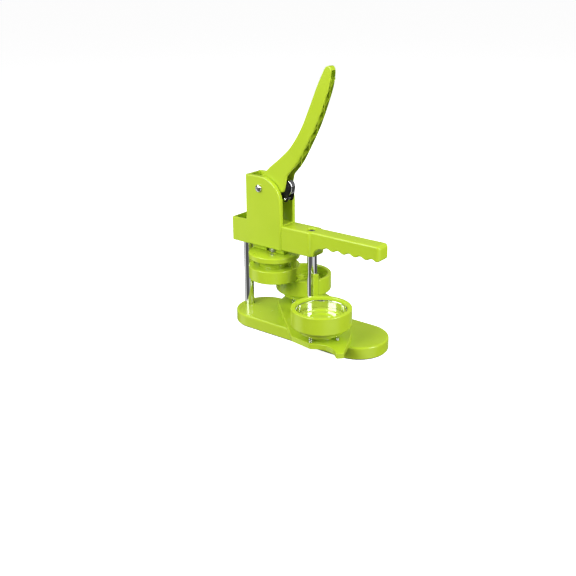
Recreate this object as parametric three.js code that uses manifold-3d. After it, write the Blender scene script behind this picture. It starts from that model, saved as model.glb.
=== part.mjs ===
// Rotary press for 58 mm button badges, in millimetres with +Z up.
// The origin is the middle of the underside of the base. +X points to the free end
// of the grip, the upper die stands over the -X half of the base, and the lever
// pivots about an axis along Y.
import * as THREE from 'three';
import { mergeVertices } from 'three/addons/utils/BufferGeometryUtils.js';
import Module from 'manifold-3d';

const wasm = await Module();
wasm.setup();

// ---------------------------------------------------------------- driving dimensions
const GAP = 0.3;
const FAR = 400;
const large = 28;
const medium = 16;
const small = 8;

const base = { length: 250, width: 84, bottom: 1.5, top: 18, wall: 3, round: 2.5, ceiling: 15, boss: 10.5 };
const pad = { inset: 1.5, top: 1.2 };
const cover = { bottom: 1.5, top: 3.9, screwX: 96, screwY: 24 };
const column = { radius: 7, bottom: 10.3, top: 138.7, frontX: 4, rearX: -113 };
const frame = {
  bottom: 119.4,
  armTop: 155,
  boxBack: -128.6,
  boxWall: 3.5,
  keel: { from: -99, to: -41, half: 7, bottom: 110.6 },
  towerBack: -101,
  towerFront: -38.3,
  towerTop: 222.2,
  towerHalf: 17.8,
  slotHalf: 11,
  slotBack: -96.5,
  slotFloor: 156,
  archX: -73.5,
  archRadius: 35.2,
  armHalf: 15.8,
};
const grip = { half: 12.2, end: 121.5, corner: 8, bottom: 133, waveStart: 28, waveEnd: 118, wave: 18, waveDepth: 3 };
const pressX = -64;
const pivot = { x: -76, z: 205, boltRadius: 3, hub: 13 };
const roller = { x: -41, z: 209, radius: 13, half: 4.4, axle: 2.9 };
const yokePin = { x: -37.3, z: 193.2, radius: 2.2, half: 8.4 };
const lever = { half: 10, tipHalf: 5.5, skin: 3, cheek: 2.4, taperFrom: 236, taperTo: 382, ribs: 5, ribSink: 1.2 };
const ram = { shaft: 8, head: 10.6, headTop: 165.1, seat: 156.6 };
const upperDie = { radius: 37.2, ringBottom: 71.1, ringTop: 90, discBottom: 102, discTop: 110, core: 22 };
const swing = { angle: -42.7, bottom: 18.4, top: 26, hub: 15, hubTop: 30 };
const die = { offset: 68, radius: 41.3, rim: 67.6, floor: 46, ringRadius: 30.5, ringBottom: 34, tableRadius: 33.2 };
const dieSpring = { circle: 25.5, radius: 3, wire: 0.8, top: 39.7 };
const post = { near: 16, far: 21, low: -2, high: 6, top: 95.6 };

// ---------------------------------------------------------------- materials
const finish = (color, roughness, metalness) => new THREE.MeshStandardMaterial({ color, roughness, metalness });
const green = finish('#bcd538', 0.32, 0);
const chrome = finish('#dfe1e4', 0.1, 1);
const steel = finish('#b4b7ba', 0.3, 1);
const blackened = finish('#1b1b1d', 0.4, 0.6);
const darkPlastic = finish('#2b2d2e', 0.6, 0);
const rubber = finish('#202122', 0.9, 0);

// ---------------------------------------------------------------- solids and their geometry
// Turns a closed geometry into a solid: shared points are joined, slivers at the
// poles of a turned shape are dropped, and the faces are made to point outwards.
function solid(geometry) {
  const bare = geometry.clone();
  bare.deleteAttribute('normal');
  bare.deleteAttribute('uv');
  const joined = mergeVertices(bare, 1e-4);
  const points = joined.attributes.position.array;
  const corners = Array.from(joined.index.array);
  const triangles = [];
  let volume = 0;
  for (let i = 0; i < corners.length; i += 3) {
    const [a, b, c] = corners.slice(i, i + 3);
    if (a === b || b === c || c === a) continue;
    triangles.push([a, b, c]);
    const [p, q, r] = [a, b, c].map((k) => new THREE.Vector3().fromArray(points, 3 * k));
    volume += p.dot(q.cross(r));
  }
  const ordered = triangles.map(([a, b, c]) => (volume < 0 ? [a, c, b] : [a, b, c]));
  const mesh = new wasm.Mesh({
    numProp: 3,
    vertProperties: new Float32Array(points),
    triVerts: new Uint32Array(ordered.flat()),
  });
  return new wasm.Manifold(mesh);
}

function geometryOf(body) {
  const mesh = body.getMesh();
  const geometry = new THREE.BufferGeometry();
  geometry.setAttribute('position', new THREE.BufferAttribute(new Float32Array(mesh.vertProperties), 3));
  geometry.setIndex(new THREE.BufferAttribute(new Uint32Array(mesh.triVerts), 1));
  geometry.computeVertexNormals();
  return geometry;
}

const join = (first, ...others) => others.reduce((sum, next) => sum.add(next), first);
const cut = (first, ...others) => others.reduce((rest, next) => rest.subtract(next), first);

// A box between two corners.
function block(x0, x1, y0, y1, z0, z1) {
  const geometry = new THREE.BoxGeometry(x1 - x0, y1 - y0, z1 - z0);
  geometry.translate((x0 + x1) / 2, (y0 + y1) / 2, (z0 + z1) / 2);
  return solid(geometry);
}

// A profile of [radius, height] points turned about a vertical axis at (x, y).
function turned(profile, x = 0, y = 0, segments = medium) {
  const points = profile.map(([r, z]) => new THREE.Vector2(r, z));
  const geometry = new THREE.LatheGeometry(points, segments);
  geometry.rotateX(Math.PI / 2);
  geometry.translate(x, y, 0);
  return solid(geometry);
}

// The same profile turned about an axis along Y through (x, z); heights become y.
function turnedAcross(profile, x, z, segments = medium) {
  const points = profile.map(([r, y]) => new THREE.Vector2(r, y));
  const geometry = new THREE.LatheGeometry(points, segments);
  geometry.translate(x, 0, 0);
  geometry.translate(0, 0, z);
  return solid(geometry);
}

const rod = (radius, low, high) => [[0, low], [radius, low], [radius, high], [0, high]];
const tube = (inner, outer, low, high) => [[inner, low], [outer, low], [outer, high], [inner, high], [inner, low]];

// A flat outline raised from one height to another, with rounded edges if asked.
function slab(shape, low, high, round = 0, curveSegments = 12) {
  const geometry = new THREE.ExtrudeGeometry(shape, {
    depth: high - low - 2 * round,
    bevelEnabled: round > 0,
    bevelThickness: round,
    bevelSize: round,
    bevelOffset: -round,
    bevelSegments: 2,
    curveSegments,
  });
  geometry.translate(0, 0, low + round);
  return solid(geometry);
}

// A side outline in X and Z, carried across from y = low to y = high.
function across(shape, low, high, curveSegments = 16) {
  const geometry = new THREE.ExtrudeGeometry(shape, { depth: high - low, bevelEnabled: false, curveSegments });
  geometry.rotateX(Math.PI / 2);
  geometry.translate(0, high, 0);
  return solid(geometry);
}

function outline(points) {
  return new THREE.Shape(points.map(([x, y]) => new THREE.Vector2(x, y)));
}

function stadium(length, width) {
  const radius = width / 2;
  const shape = new THREE.Shape();
  shape.absarc(length / 2 - radius, 0, radius, -Math.PI / 2, Math.PI / 2, false);
  shape.absarc(radius - length / 2, 0, radius, Math.PI / 2, 1.5 * Math.PI, false);
  return shape;
}

const press = new THREE.Group();
const swinging = new THREE.Group();
swinging.position.set(column.frontX, 0, 0);
swinging.rotation.z = THREE.MathUtils.degToRad(swing.angle);
press.add(swinging);

function place(name, material, body, group = press) {
  const mesh = new THREE.Mesh(geometryOf(body), material);
  mesh.name = name;
  group.add(mesh);
}

// ---------------------------------------------------------------- screws and bolts
// A pan-head screw seen upright: the head's top at `top`, the shank going down.
function screw(x, y, headRadius, headHeight, shankRadius, top, tip) {
  const low = top - headHeight;
  const profile = [
    [0, tip],
    [shankRadius, tip],
    [shankRadius, low],
    [headRadius, low],
    [headRadius, top - headHeight * 0.45],
    [headRadius * 0.72, top],
    [0, top],
  ];
  return cut(turned(profile, x, y, small), crossSlot(x, y, headRadius, low + headHeight * 0.55, top + 1));
}

// A screw going up from below, with its head at the bottom.
function screwFromBelow(x, y, headRadius, headHeight, shankRadius, bottom, tip) {
  const profile = [
    [0, bottom],
    [headRadius, bottom],
    [headRadius, bottom + headHeight],
    [shankRadius, bottom + headHeight],
    [shankRadius, tip],
    [0, tip],
  ];
  return cut(turned(profile, x, y, small), crossSlot(x, y, headRadius, bottom - 1, bottom + headHeight * 0.4));
}

function crossSlot(x, y, headRadius, low, high) {
  const reach = headRadius * 0.55;
  const half = headRadius * 0.13;
  return join(
    block(x - reach, x + reach, y - half, y + half, low, high),
    block(x - half, x + half, y - reach, y + reach, low, high),
  );
}

// ---------------------------------------------------------------- base
const coverCorners = [];
for (const sideX of [-1, 1]) {
  for (const sideY of [-1, 1]) {
    coverCorners.push([sideX * cover.screwX, sideY * cover.screwY]);
  }
}
const columnFeet = [column.frontX, column.rearX];

function baseShell() {
  const whole = slab(stadium(base.length, base.width), -6, base.top, base.round);
  const trimmed = cut(whole, block(-FAR, FAR, -FAR, FAR, -FAR, base.bottom));
  const innerLength = base.length - 2 * base.wall;
  const innerWidth = base.width - 2 * base.wall;
  const hollow = slab(stadium(innerLength, innerWidth), -6, base.ceiling);
  const bossBottom = cover.top + GAP;
  let shell = cut(trimmed, hollow);
  for (const x of columnFeet) {
    shell = join(shell, turned(rod(base.boss, bossBottom, base.ceiling + 1), x, 0));
  }
  for (const [x, y] of coverCorners) {
    shell = join(shell, turned(rod(4.5, bossBottom, base.ceiling + 1), x, y, small));
  }
  for (const y of [-26, 26]) {
    shell = join(shell, block(-80, 80, y - 1, y + 1, 9, base.ceiling + 1));
  }
  for (const x of [-60, 60]) {
    shell = join(shell, block(x - 1, x + 1, -40, 40, 9, base.ceiling + 1));
  }
  for (const x of columnFeet) {
    const socket = turned(rod(column.radius + GAP, column.bottom - GAP, FAR), x, 0);
    const screwHole = turned(rod(2.9, 0, FAR), x, 0, small);
    const headRecess = turned(rod(5.3, 0, 7.6), x, 0, small);
    shell = cut(shell, socket, screwHole, headRecess);
  }
  for (const [x, y] of coverCorners) {
    shell = cut(shell, turned(rod(1.7, 0, 13), x, y, small));
  }
  return shell;
}

function baseCover() {
  const inset = base.wall + GAP;
  const plate = slab(stadium(base.length - 2 * inset, base.width - 2 * inset), cover.bottom, cover.top);
  const holes = coverCorners.map(([x, y]) => {
    return join(turned(rod(1.7, 0, FAR), x, y, small), turned(rod(3.4, 0, 3.1), x, y, small));
  });
  return cut(plate, ...holes);
}

place('base_shell', green, baseShell());
place('base_cover', darkPlastic, baseCover());
place('anti_slip_pad', rubber, slab(stadium(base.length - 2 * pad.inset, base.width - 2 * pad.inset), 0, pad.top));
coverCorners.forEach(([x, y], i) => {
  place(`cover_screw_${i + 1}`, steel, screwFromBelow(x, y, 3.1, 1.2, 1.4, 1.6, 12));
});

function chromeColumn(x) {
  const bar = turned(rod(column.radius, column.bottom, column.top), x, 0, medium);
  const footThread = turned(rod(2.9, 0, 26), x, 0, small);
  const topThread = turned(rod(2.9, 122, FAR), x, 0, small);
  return cut(bar, footThread, topThread);
}
place('front_column', chrome, chromeColumn(column.frontX));
place('rear_column', chrome, chromeColumn(column.rearX));
place('front_column_foot_screw', steel, screwFromBelow(column.frontX, 0, 5, 2.9, 2.6, 4.4, 24));
place('rear_column_foot_screw', steel, screwFromBelow(column.rearX, 0, 5, 2.9, 2.6, 4.4, 24));

// ---------------------------------------------------------------- frame
// Side outline of the tower: square at the back, a quarter round at the front.
function towerOutline() {
  const shape = new THREE.Shape();
  shape.moveTo(frame.towerBack, frame.bottom);
  shape.lineTo(frame.towerFront, frame.bottom);
  shape.absarc(frame.archX, frame.towerTop - frame.archRadius, frame.archRadius, 0, Math.PI / 2, false);
  shape.lineTo(frame.towerBack, frame.towerTop);
  return shape;
}

// Side outline of arm and grip: flat on top, a cove under the arm, finger waves.
function armOutline() {
  const cove = grip.bottom - frame.bottom;
  const shape = new THREE.Shape();
  shape.moveTo(frame.towerFront - 2, frame.bottom);
  shape.lineTo(grip.waveStart - cove, frame.bottom);
  shape.absarc(grip.waveStart, frame.bottom, cove, Math.PI, Math.PI / 2, true);
  const steps = 30;
  for (let i = 1; i <= steps; i += 1) {
    const x = grip.waveStart + ((grip.waveEnd - grip.waveStart) * i) / steps;
    const phase = (2 * Math.PI * (x - grip.waveStart)) / grip.wave;
    shape.lineTo(x, grip.bottom + (grip.waveDepth / 2) * (1 - Math.cos(phase)));
  }
  shape.absarc(grip.end - 3, grip.bottom + 3, 3, -Math.PI / 2, 0, false);
  shape.absarc(grip.end - 2, frame.armTop - 2, 2, 0, Math.PI / 2, false);
  shape.lineTo(frame.towerFront - 2, frame.armTop);
  return shape;
}

// Plan of arm and grip: the arm steps in to the narrower grip through a soft corner.
function armPlan() {
  const shape = new THREE.Shape();
  const back = frame.towerFront - 2;
  const step = frame.armHalf - grip.half;
  shape.moveTo(back, -frame.armHalf);
  shape.lineTo(8, -frame.armHalf);
  shape.absarc(8, -frame.armHalf + step, step, -Math.PI / 2, -Math.PI / 8, false);
  shape.lineTo(14, -grip.half);
  shape.absarc(grip.end - grip.corner, grip.corner - grip.half, grip.corner, -Math.PI / 2, 0, false);
  shape.absarc(grip.end - grip.corner, grip.half - grip.corner, grip.corner, 0, Math.PI / 2, false);
  shape.lineTo(14, grip.half);
  shape.absarc(8, frame.armHalf - step, step, Math.PI / 8, Math.PI / 2, false);
  shape.lineTo(back, frame.armHalf);
  return shape;
}

function frameBody() {
  const half = frame.towerHalf;
  const wall = frame.boxWall;
  const tower = across(towerOutline(), -half, half, 12);
  const rearBox = block(frame.boxBack, frame.towerBack + 2, -half, half, frame.bottom, frame.armTop);
  const boxHollow = block(
    frame.boxBack + wall, frame.towerBack - wall, wall - half, half - wall, frame.bottom + 4, FAR,
  );
  const rearBoss = turned(rod(12, frame.bottom, 143), column.rearX, 0);
  const { from, to, half: keelHalf, bottom } = frame.keel;
  const keel = block(from, to, -keelHalf, keelHalf, bottom, frame.bottom + 1);
  const arm = across(armOutline(), -frame.armHalf, frame.armHalf, 8).intersect(slab(armPlan(), 100, 170, 0, 6));
  const slot = block(frame.slotBack, -30, -frame.slotHalf, frame.slotHalf, frame.slotFloor, FAR);
  const bushHole = turned(rod(11.3, 0, 133), pressX, 0);
  const springWell = turned(rod(12.2, 132, frame.slotFloor + 1), pressX, 0);
  const pivotHole = turnedAcross(rod(pivot.boltRadius + GAP, -FAR, FAR), pivot.x, pivot.z, small);
  const holes = [bushHole, springWell, pivotHole];
  for (const x of columnFeet) {
    holes.push(turned(rod(column.radius + GAP, 0, column.top + GAP), x, 0, medium));
    holes.push(turned(rod(2.9, 0, FAR), x, 0, small));
  }
  holes.push(turned(rod(7, 151, FAR), column.frontX, 0, medium));
  const body = join(cut(join(tower, rearBox), boxHollow), rearBoss, keel, arm);
  return cut(body, slot, ...holes);
}

place('frame', green, frameBody());
place('front_column_top_screw', chrome, screw(column.frontX, 0, 4.9, 3.2, 2.6, 154.5, 124));
place('rear_column_top_screw', chrome, screw(column.rearX, 0, 4.9, 3.2, 2.6, 146.5, 124));

// The pivot bolt runs through both plates, its domed head at -Y and its nut at +Y.
function pivotBolt() {
  const face = -frame.towerHalf - GAP;
  const dome = [];
  for (let i = 0; i <= 3; i += 1) {
    const angle = (i / 3) * (Math.PI / 2);
    dome.push([5.5 * Math.sin(angle), face - 0.8 - 2.6 * Math.cos(angle)]);
  }
  const profile = [...dome, [5.5, face], [pivot.boltRadius, face], [pivot.boltRadius, 22.6], [0, 22.6]];
  const bolt = turnedAcross(profile, pivot.x, pivot.z, 20);
  const reach = 2.6;
  const arm = 0.6;
  const deep = face - 1.8;
  return cut(
    bolt,
    block(pivot.x - reach, pivot.x + reach, -FAR, deep, pivot.z - arm, pivot.z + arm),
    block(pivot.x - arm, pivot.x + arm, -FAR, deep, pivot.z - reach, pivot.z + reach),
  );
}

function pivotNut() {
  const low = frame.towerHalf + GAP;
  const hex = turnedAcross(rod(5.6, low, low + 4), pivot.x, pivot.z, 6);
  return cut(hex, turnedAcross(rod(pivot.boltRadius + GAP, 0, FAR), pivot.x, pivot.z, small));
}

place('pivot_bolt', chrome, pivotBolt());
place('pivot_nut', chrome, pivotNut());

const bushProfile = [[8.3, 120.3], [11, 120.3], [11, 132.3], [11.9, 132.3], [11.9, 134], [8.3, 134], [8.3, 120.3]];
place('ram_bush', steel, turned(bushProfile, pressX, 0, medium));
place('ram_return_spring', steel, turned(tube(8.7, 10.4, 134.3, ram.seat - GAP), pressX, 0, medium));

// ---------------------------------------------------------------- lever
const spine = [[-63, 235.9], [-44.3, 251.3], [-27.2, 268.1], [-10.6, 293.3], [3.2, 323.4], [15.8, 354], [26.3, 375.5]];
const belly = [[38.4, 371.5], [35.2, 354], [27.4, 332], [14.6, 301], [-1.2, 271.2], [-16, 246.2], [-31.8, 227.3]];
const curve = (points) => new THREE.SplineCurve(points.map(([x, z]) => new THREE.Vector2(x, z)));
const spineCurve = curve(spine);
const bellyCurve = curve(belly);

// Side outline: hub, straight rise, curved back, round tip, curved belly, hooked cheek.
function leverOutline() {
  const shape = new THREE.Shape();
  const start = spineCurve.getPoint(0);
  const climb = Math.atan2(start.y - 226, start.x + 72.7);
  const hubStart = climb + Math.PI / 2;
  shape.absarc(pivot.x, pivot.z, pivot.hub, -Math.PI / 2, hubStart, true);
  spineCurve.getPoints(14).forEach((p) => shape.lineTo(p.x, p.y));
  shape.bezierCurveTo(30.5, 384, 39.4, 384, 38.4, 371.5);
  bellyCurve.getPoints(14).slice(1).forEach((p) => shape.lineTo(p.x, p.y));
  shape.bezierCurveTo(-34.5, 220, -34.6, 212, -38.2, 204);
  shape.lineTo(-41.5, 202.6);
  return shape;
}

// The hollow follows the back at one skin's distance and is open at the belly.
function leverHollow() {
  const points = [];
  const steps = 12;
  for (let i = 0; i <= steps; i += 1) {
    const t = (i / steps) * 0.965;
    const p = spineCurve.getPointAt(t);
    const along = spineCurve.getTangentAt(t);
    points.push([p.x + lever.skin * along.y, p.y - lever.skin * along.x]);
  }
  const [firstX, firstZ] = points[0];
  return outline([
    [pivot.x - 18, pivot.z - 20],
    [pivot.x - 18, pivot.z + 2],
    [firstX - 11, firstZ - 9.6],
    ...points,
    [36, 375.5],
    [60, 375.5],
    [60, 180],
  ]);
}

// One crossed pair of ribs for each cell, laid along the belly's own direction.
function leverRibs() {
  let ribs = null;
  for (let i = 0; i < lever.ribs; i += 1) {
    const from = bellyCurve.getPointAt(0.06 + (i * 0.86) / lever.ribs);
    const to = bellyCurve.getPointAt(0.06 + ((i + 1) * 0.86) / lever.ribs);
    const length = from.distanceTo(to);
    const heading = Math.atan2(to.y - from.y, to.x - from.x);
    for (const side of [-1, 1]) {
      const width = 2 * lever.half;
      const rib = new THREE.BoxGeometry(Math.hypot(length, width), 1.6, 44);
      rib.rotateZ(side * Math.atan2(width, length));
      rib.rotateX(Math.PI / 2);
      rib.rotateY(-heading);
      rib.translate((from.x + to.x) / 2, 0, (from.y + to.y) / 2);
      ribs = ribs ? ribs.add(solid(rib)) : solid(rib);
    }
  }
  return ribs;
}

// Above the hub the lever narrows evenly towards its tip.
function narrowed(geometry) {
  const points = geometry.attributes.position;
  const loss = 1 - lever.tipHalf / lever.half;
  for (let i = 0; i < points.count; i += 1) {
    const rise = (points.getZ(i) - lever.taperFrom) / (lever.taperTo - lever.taperFrom);
    points.setY(i, points.getY(i) * (1 - loss * THREE.MathUtils.clamp(rise, 0, 1)));
  }
  geometry.computeVertexNormals();
  return geometry;
}

function leverBody() {
  const whole = across(leverOutline(), -lever.half, lever.half, 10);
  const inner = lever.half - lever.cheek;
  const hollow = across(leverHollow(), -inner, inner, 1);
  const ribZone = hollow.intersect(across(leverOutline(), -inner - 1, inner + 1, 10));
  const wide = geometryOf(across(leverOutline(), -FAR, FAR, 10));
  const sunk = solid(wide.translate(-lever.ribSink, 0, lever.ribSink));
  const ribs = leverRibs().intersect(ribZone).intersect(sunk).intersect(block(-FAR, FAR, -9, 9, 236, FAR));
  const hub = turnedAcross(rod(pivot.hub, -lever.half, lever.half), pivot.x, pivot.z, medium);
  const bore = turnedAcross(rod(pivot.boltRadius + GAP, -FAR, FAR), pivot.x, pivot.z, small);
  const axleEnds = turnedAcross(rod(roller.axle + GAP, -inner - 1.4, inner + 1.4), roller.x, roller.z, small);
  return cut(join(cut(whole, hollow), hub, ribs), bore, axleEnds);
}

const leverMesh = new THREE.Mesh(narrowed(geometryOf(leverBody())), green);
leverMesh.name = 'lever';
press.add(leverMesh);

// ---------------------------------------------------------------- roller and yoke
// A bent bracket: two long plates beside the roller and a web behind it.
function rollerYoke() {
  const plateHalf = 7.3;
  const innerHalf = 5.3;
  const lean = Math.atan2(yokePin.z - roller.z, yokePin.x - roller.x);
  const shape = new THREE.Shape();
  shape.absarc(roller.x, roller.z, 10.8, lean + 1.25, lean - 1.25 + 2 * Math.PI, false);
  shape.absarc(yokePin.x, yokePin.z, 4.4, lean - 1.25, lean + 1.25, false);
  const plates = across(shape, -plateHalf, plateHalf, 8);
  const web = block(-59, roller.x, -plateHalf, plateHalf, 203, 215);
  const between = join(
    block(-55.2, 0, -innerHalf, innerHalf, 180, 240),
    block(-56, 0, -innerHalf, innerHalf, 180, 202),
  );
  const axleHole = turnedAcross(rod(roller.axle + GAP, -FAR, FAR), roller.x, roller.z, small);
  const pinHole = turnedAcross(rod(yokePin.radius + GAP, -FAR, FAR), yokePin.x, yokePin.z, small);
  return cut(join(plates, web), between, axleHole, pinHole);
}

function yokePinBody() {
  const { radius, half } = yokePin;
  const profile = [[0, -half - 1], [1.5, -half - 0.6], [radius, -half], [radius, half], [1.5, half + 0.6], [0, half + 1]];
  return turnedAcross(profile, yokePin.x, yokePin.z, small);
}

place('roller_yoke', blackened, rollerYoke());
place('yoke_pin', chrome, yokePinBody());
place('roller_axle', steel, turnedAcross(rod(roller.axle, -8.6, 8.6), roller.x, roller.z, small));
place('roller_inner_ring', steel, turnedAcross(tube(3.2, 5.2, -roller.half, roller.half), roller.x, roller.z, medium));
place('roller_seal', blackened, turnedAcross(tube(5.5, 9.2, -4, 4), roller.x, roller.z, medium));
const rimProfile = [
  [9.5, -roller.half],
  [roller.radius - 0.8, -roller.half],
  [roller.radius, 0.8 - roller.half],
  [roller.radius, roller.half - 0.8],
  [roller.radius - 0.8, roller.half],
  [9.5, roller.half],
  [9.5, -roller.half],
];
place('roller_outer_ring', chrome, turnedAcross(rimProfile, roller.x, roller.z, large));

// ---------------------------------------------------------------- ram and upper die
const shaftProfile = [
  [0, 103], [5, 103], [5, 110.3], [ram.shaft, 110.3], [ram.shaft, 156.3], [3.2, 156.3], [3.2, 162], [0, 162],
];
place('ram_shaft', steel, turned(shaftProfile, pressX, 0, medium));
const headProfile = [
  [3.5, ram.seat], [ram.head, ram.seat], [ram.head, 159], [10, 159.6], [4.9, 159.6], [4.9, 164.6],
  [4.4, ram.headTop], [0, ram.headTop], [0, 162.3], [3.5, 162.3], [3.5, ram.seat],
];
place('ram_head', steel, turned(headProfile, pressX, 0, medium));

const discScrewCircle = 14;
const recessCircle = 30.5;
const ring3 = (circle, start) => [0, 1, 2].map((i) => {
  const angle = THREE.MathUtils.degToRad(start + 120 * i);
  return [pressX + circle * Math.cos(angle), circle * Math.sin(angle)];
});

function pressDisc() {
  const { radius, discBottom, discTop } = upperDie;
  const profile = [
    [5.3, discBottom], [radius - 1, discBottom], [radius, discBottom + 1], [radius, discTop - 1.2],
    [radius - 1.2, discTop], [5.3, discTop], [5.3, discBottom],
  ];
  const recesses = ring3(recessCircle, -119).map(([x, y]) => turned(rod(1.8, discTop - 3, FAR), x, y, small));
  const screwHoles = ring3(discScrewCircle, -60).map(([x, y]) => {
    return join(turned(rod(1.8, 0, FAR), x, y, small), turned(rod(3.7, 106.5, FAR), x, y, small));
  });
  return cut(turned(profile, pressX, 0, large), ...recesses, ...screwHoles);
}

function pressCore() {
  const { core, discBottom } = upperDie;
  const top = discBottom - GAP;
  const profile = [
    [0, 78], [26, 78], [27, 76], [30.2, 76], [30.2, 85.7], [core, 85.7], [core, top], [0, top],
  ];
  const screwHoles = ring3(discScrewCircle, -60).map(([x, y]) => turned(rod(1.8, 92, FAR), x, y, small));
  const neckClearance = turned(rod(5.3, top - 1, FAR), pressX, 0, small);
  return cut(turned(profile, pressX, 0, large), ...screwHoles, neckClearance);
}

// The selector ring hangs on the core's flange and carries two posts and one arm.
function selectorRing() {
  const { radius, ringBottom, ringTop, core, discBottom } = upperDie;
  const profile = [
    [30.6, ringBottom], [radius - 0.8, ringBottom], [radius, ringBottom + 0.8], [radius, ringTop - 1],
    [radius - 1, ringTop], [core + 0.4, ringTop], [core + 0.4, 86], [30.6, 86], [30.6, ringBottom],
  ];
  let ring = turned(profile, pressX, 0, large);
  for (const degrees of [6, 204]) {
    const shape = new THREE.Shape();
    const from = THREE.MathUtils.degToRad(degrees - 7);
    const to = THREE.MathUtils.degToRad(degrees + 7);
    shape.absarc(pressX, 0, 35, from, to, false);
    shape.absarc(pressX, 0, 30.5, to, from, true);
    ring = join(ring, slab(shape, ringTop - 1, discBottom - 0.5, 0, 4));
  }
  const arm = outline([[-31, 4], [-16, 5.2], [-14.4, 6.4], [-14.6, 8.4], [-16.4, 9.4], [-32, 10.5]]);
  return join(ring, slab(arm, 75, 80.5, 0.8));
}

place('press_disc', green, pressDisc());
place('press_core', green, pressCore());
place('core_band', green, turned(tube(22.3, 25, 95.5, 99.5), pressX, 0, large));
place('selector_ring', green, selectorRing());
ring3(discScrewCircle, -60).forEach(([x, y], i) => {
  place(`disc_screw_${i + 1}`, steel, screw(x, y, 3.3, 2.2, 1.5, 109.2, 94));
});

// ---------------------------------------------------------------- swing plate (own frame: dies along X)
// Half outline, x from the column outwards; the other half is its mirror image.
function swingOutline() {
  const half = [
    [63, -40], [91.6, -20], [94.2, -9.6], [98.8, -1.2], [105.9, 4.1], [111, 6.6], [115.6, 7.7],
    [126, 7.9], [126.5, 18.2], [115.4, 22], [92.7, 32.6], [68.7, 41.7],
  ];
  const mirrored = half.map(([x, y]) => [-x, y]).reverse();
  return outline([...half, ...mirrored]);
}

const dieCentres = [['a', die.offset], ['b', -die.offset]];
const springSpots = (centre) => [0, 1, 2, 3].map((i) => {
  const angle = THREE.MathUtils.degToRad(45 + 90 * i);
  return [centre + dieSpring.circle * Math.cos(angle), dieSpring.circle * Math.sin(angle)];
});

function swingPlate() {
  const plate = slab(swingOutline(), swing.bottom, swing.top, 0.8);
  const hub = turned(rod(swing.hub, swing.bottom + 1, swing.hubTop), 0, 0, medium);
  const bushHole = turned(rod(12, 0, FAR), 0, 0, medium);
  const dieHoles = dieCentres.map(([, x]) => {
    return join(turned(rod(2.3, 0, FAR), x, 0, small), turned(rod(4.8, 0, swing.bottom + 3.4), x, 0, small));
  });
  return cut(join(plate, hub), bushHole, ...dieHoles);
}

const bushStep = [[7.3, 18.6], [11.7, 18.6], [11.7, 30.3], [10.2, 31.5], [10.2, 38], [7.3, 38], [7.3, 18.6]];
place('swing_plate', green, swingPlate(), swinging);
place('swing_bush', darkPlastic, turned(bushStep, 0, 0, medium), swinging);

function triggerPost() {
  const foot = block(post.near, post.far + 2, post.low - 1, post.high + 1, swing.top + GAP, 31);
  const blade = block(post.near, post.far, post.low, post.high, 30, post.top);
  return join(foot, blade);
}
place('trigger_post', green, triggerPost(), swinging);

// ---------------------------------------------------------------- lower dies
// Stem and table are fixed to the plate; the cup slides on the stem.
const tableFloor = 50;
const tableSteps = {
  a: [[die.tableRadius, 53], [26, 53], [25.4, 51.8], [16.8, 51.8], [16.4, tableFloor]],
  b: [
    [die.tableRadius, 51], [28, 51], [27.6, 56], [24.4, 56], [24, 51],
    [16.6, 51], [16.4, 53], [13.4, 53], [13.2, tableFloor],
  ],
};

function dieStem(centre) {
  return turned(tube(2.3, 18.5, swing.top + GAP, die.floor), centre, 0, medium);
}

function dieTable(which, centre) {
  const low = die.floor + GAP;
  const profile = [[2.3, low], [die.tableRadius, low], ...tableSteps[which], [2.3, tableFloor], [2.3, low]];
  const recess = turned(rod(5, tableFloor - 2.6, FAR), centre, 0, medium);
  return cut(turned(profile, centre, 0, large), recess);
}

function dieCup(which, centre) {
  const { radius, rim, floor, ringRadius, ringBottom } = die;
  const ledge = { a: 52.7, b: 58 };
  const profile = [
    [18.8, ringBottom], [ringRadius, ringBottom], [ringRadius, 40.5], [radius - 1.8, 42.5],
    [radius, 44.5], [radius, rim - 1.2], [radius - 1.2, rim], [36.2, rim], [35.2, rim - 1],
    [35.2, ledge[which]], [34.6, ledge[which]], [34.6, floor], [18.8, floor], [18.8, ringBottom],
  ];
  const pockets = springSpots(centre).map(([x, y]) => turned(rod(3.3, 0, dieSpring.top + GAP), x, y, small));
  return cut(turned(profile, centre, 0, large), ...pockets);
}

// The table's screw comes down through table and stem into the plate's nut recess.
for (const [which, centre] of dieCentres) {
  place(`die_${which}_stem`, green, dieStem(centre), swinging);
  place(`die_${which}_table`, green, dieTable(which, centre), swinging);
  place(`die_${which}_screw`, steel, screw(centre, 0, 4.4, 2, 2, tableFloor - 0.3, 20), swinging);
  place(`cup_${which}`, green, dieCup(which, centre), swinging);
  springSpots(centre).forEach(([x, y], i) => {
    const sleeve = tube(dieSpring.radius - dieSpring.wire, dieSpring.radius, swing.top + GAP, dieSpring.top);
    place(`die_${which}_spring_${i + 1}`, chrome, turned(sleeve, x, y, 8), swinging);
  });
}

const linerProfile = [
  [33.5, 53], [34.9, 53], [34.9, 63], [34.2, 63.6], [33.5, 63], [33.5, 53],
];
place('cup_a_steel_ring', chrome, turned(linerProfile, die.offset, 0, large), swinging);

export default press;
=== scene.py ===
"""Rotary press for 58 mm button badges: its visual model, built on the fixed frame of the press."""

import math

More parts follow.
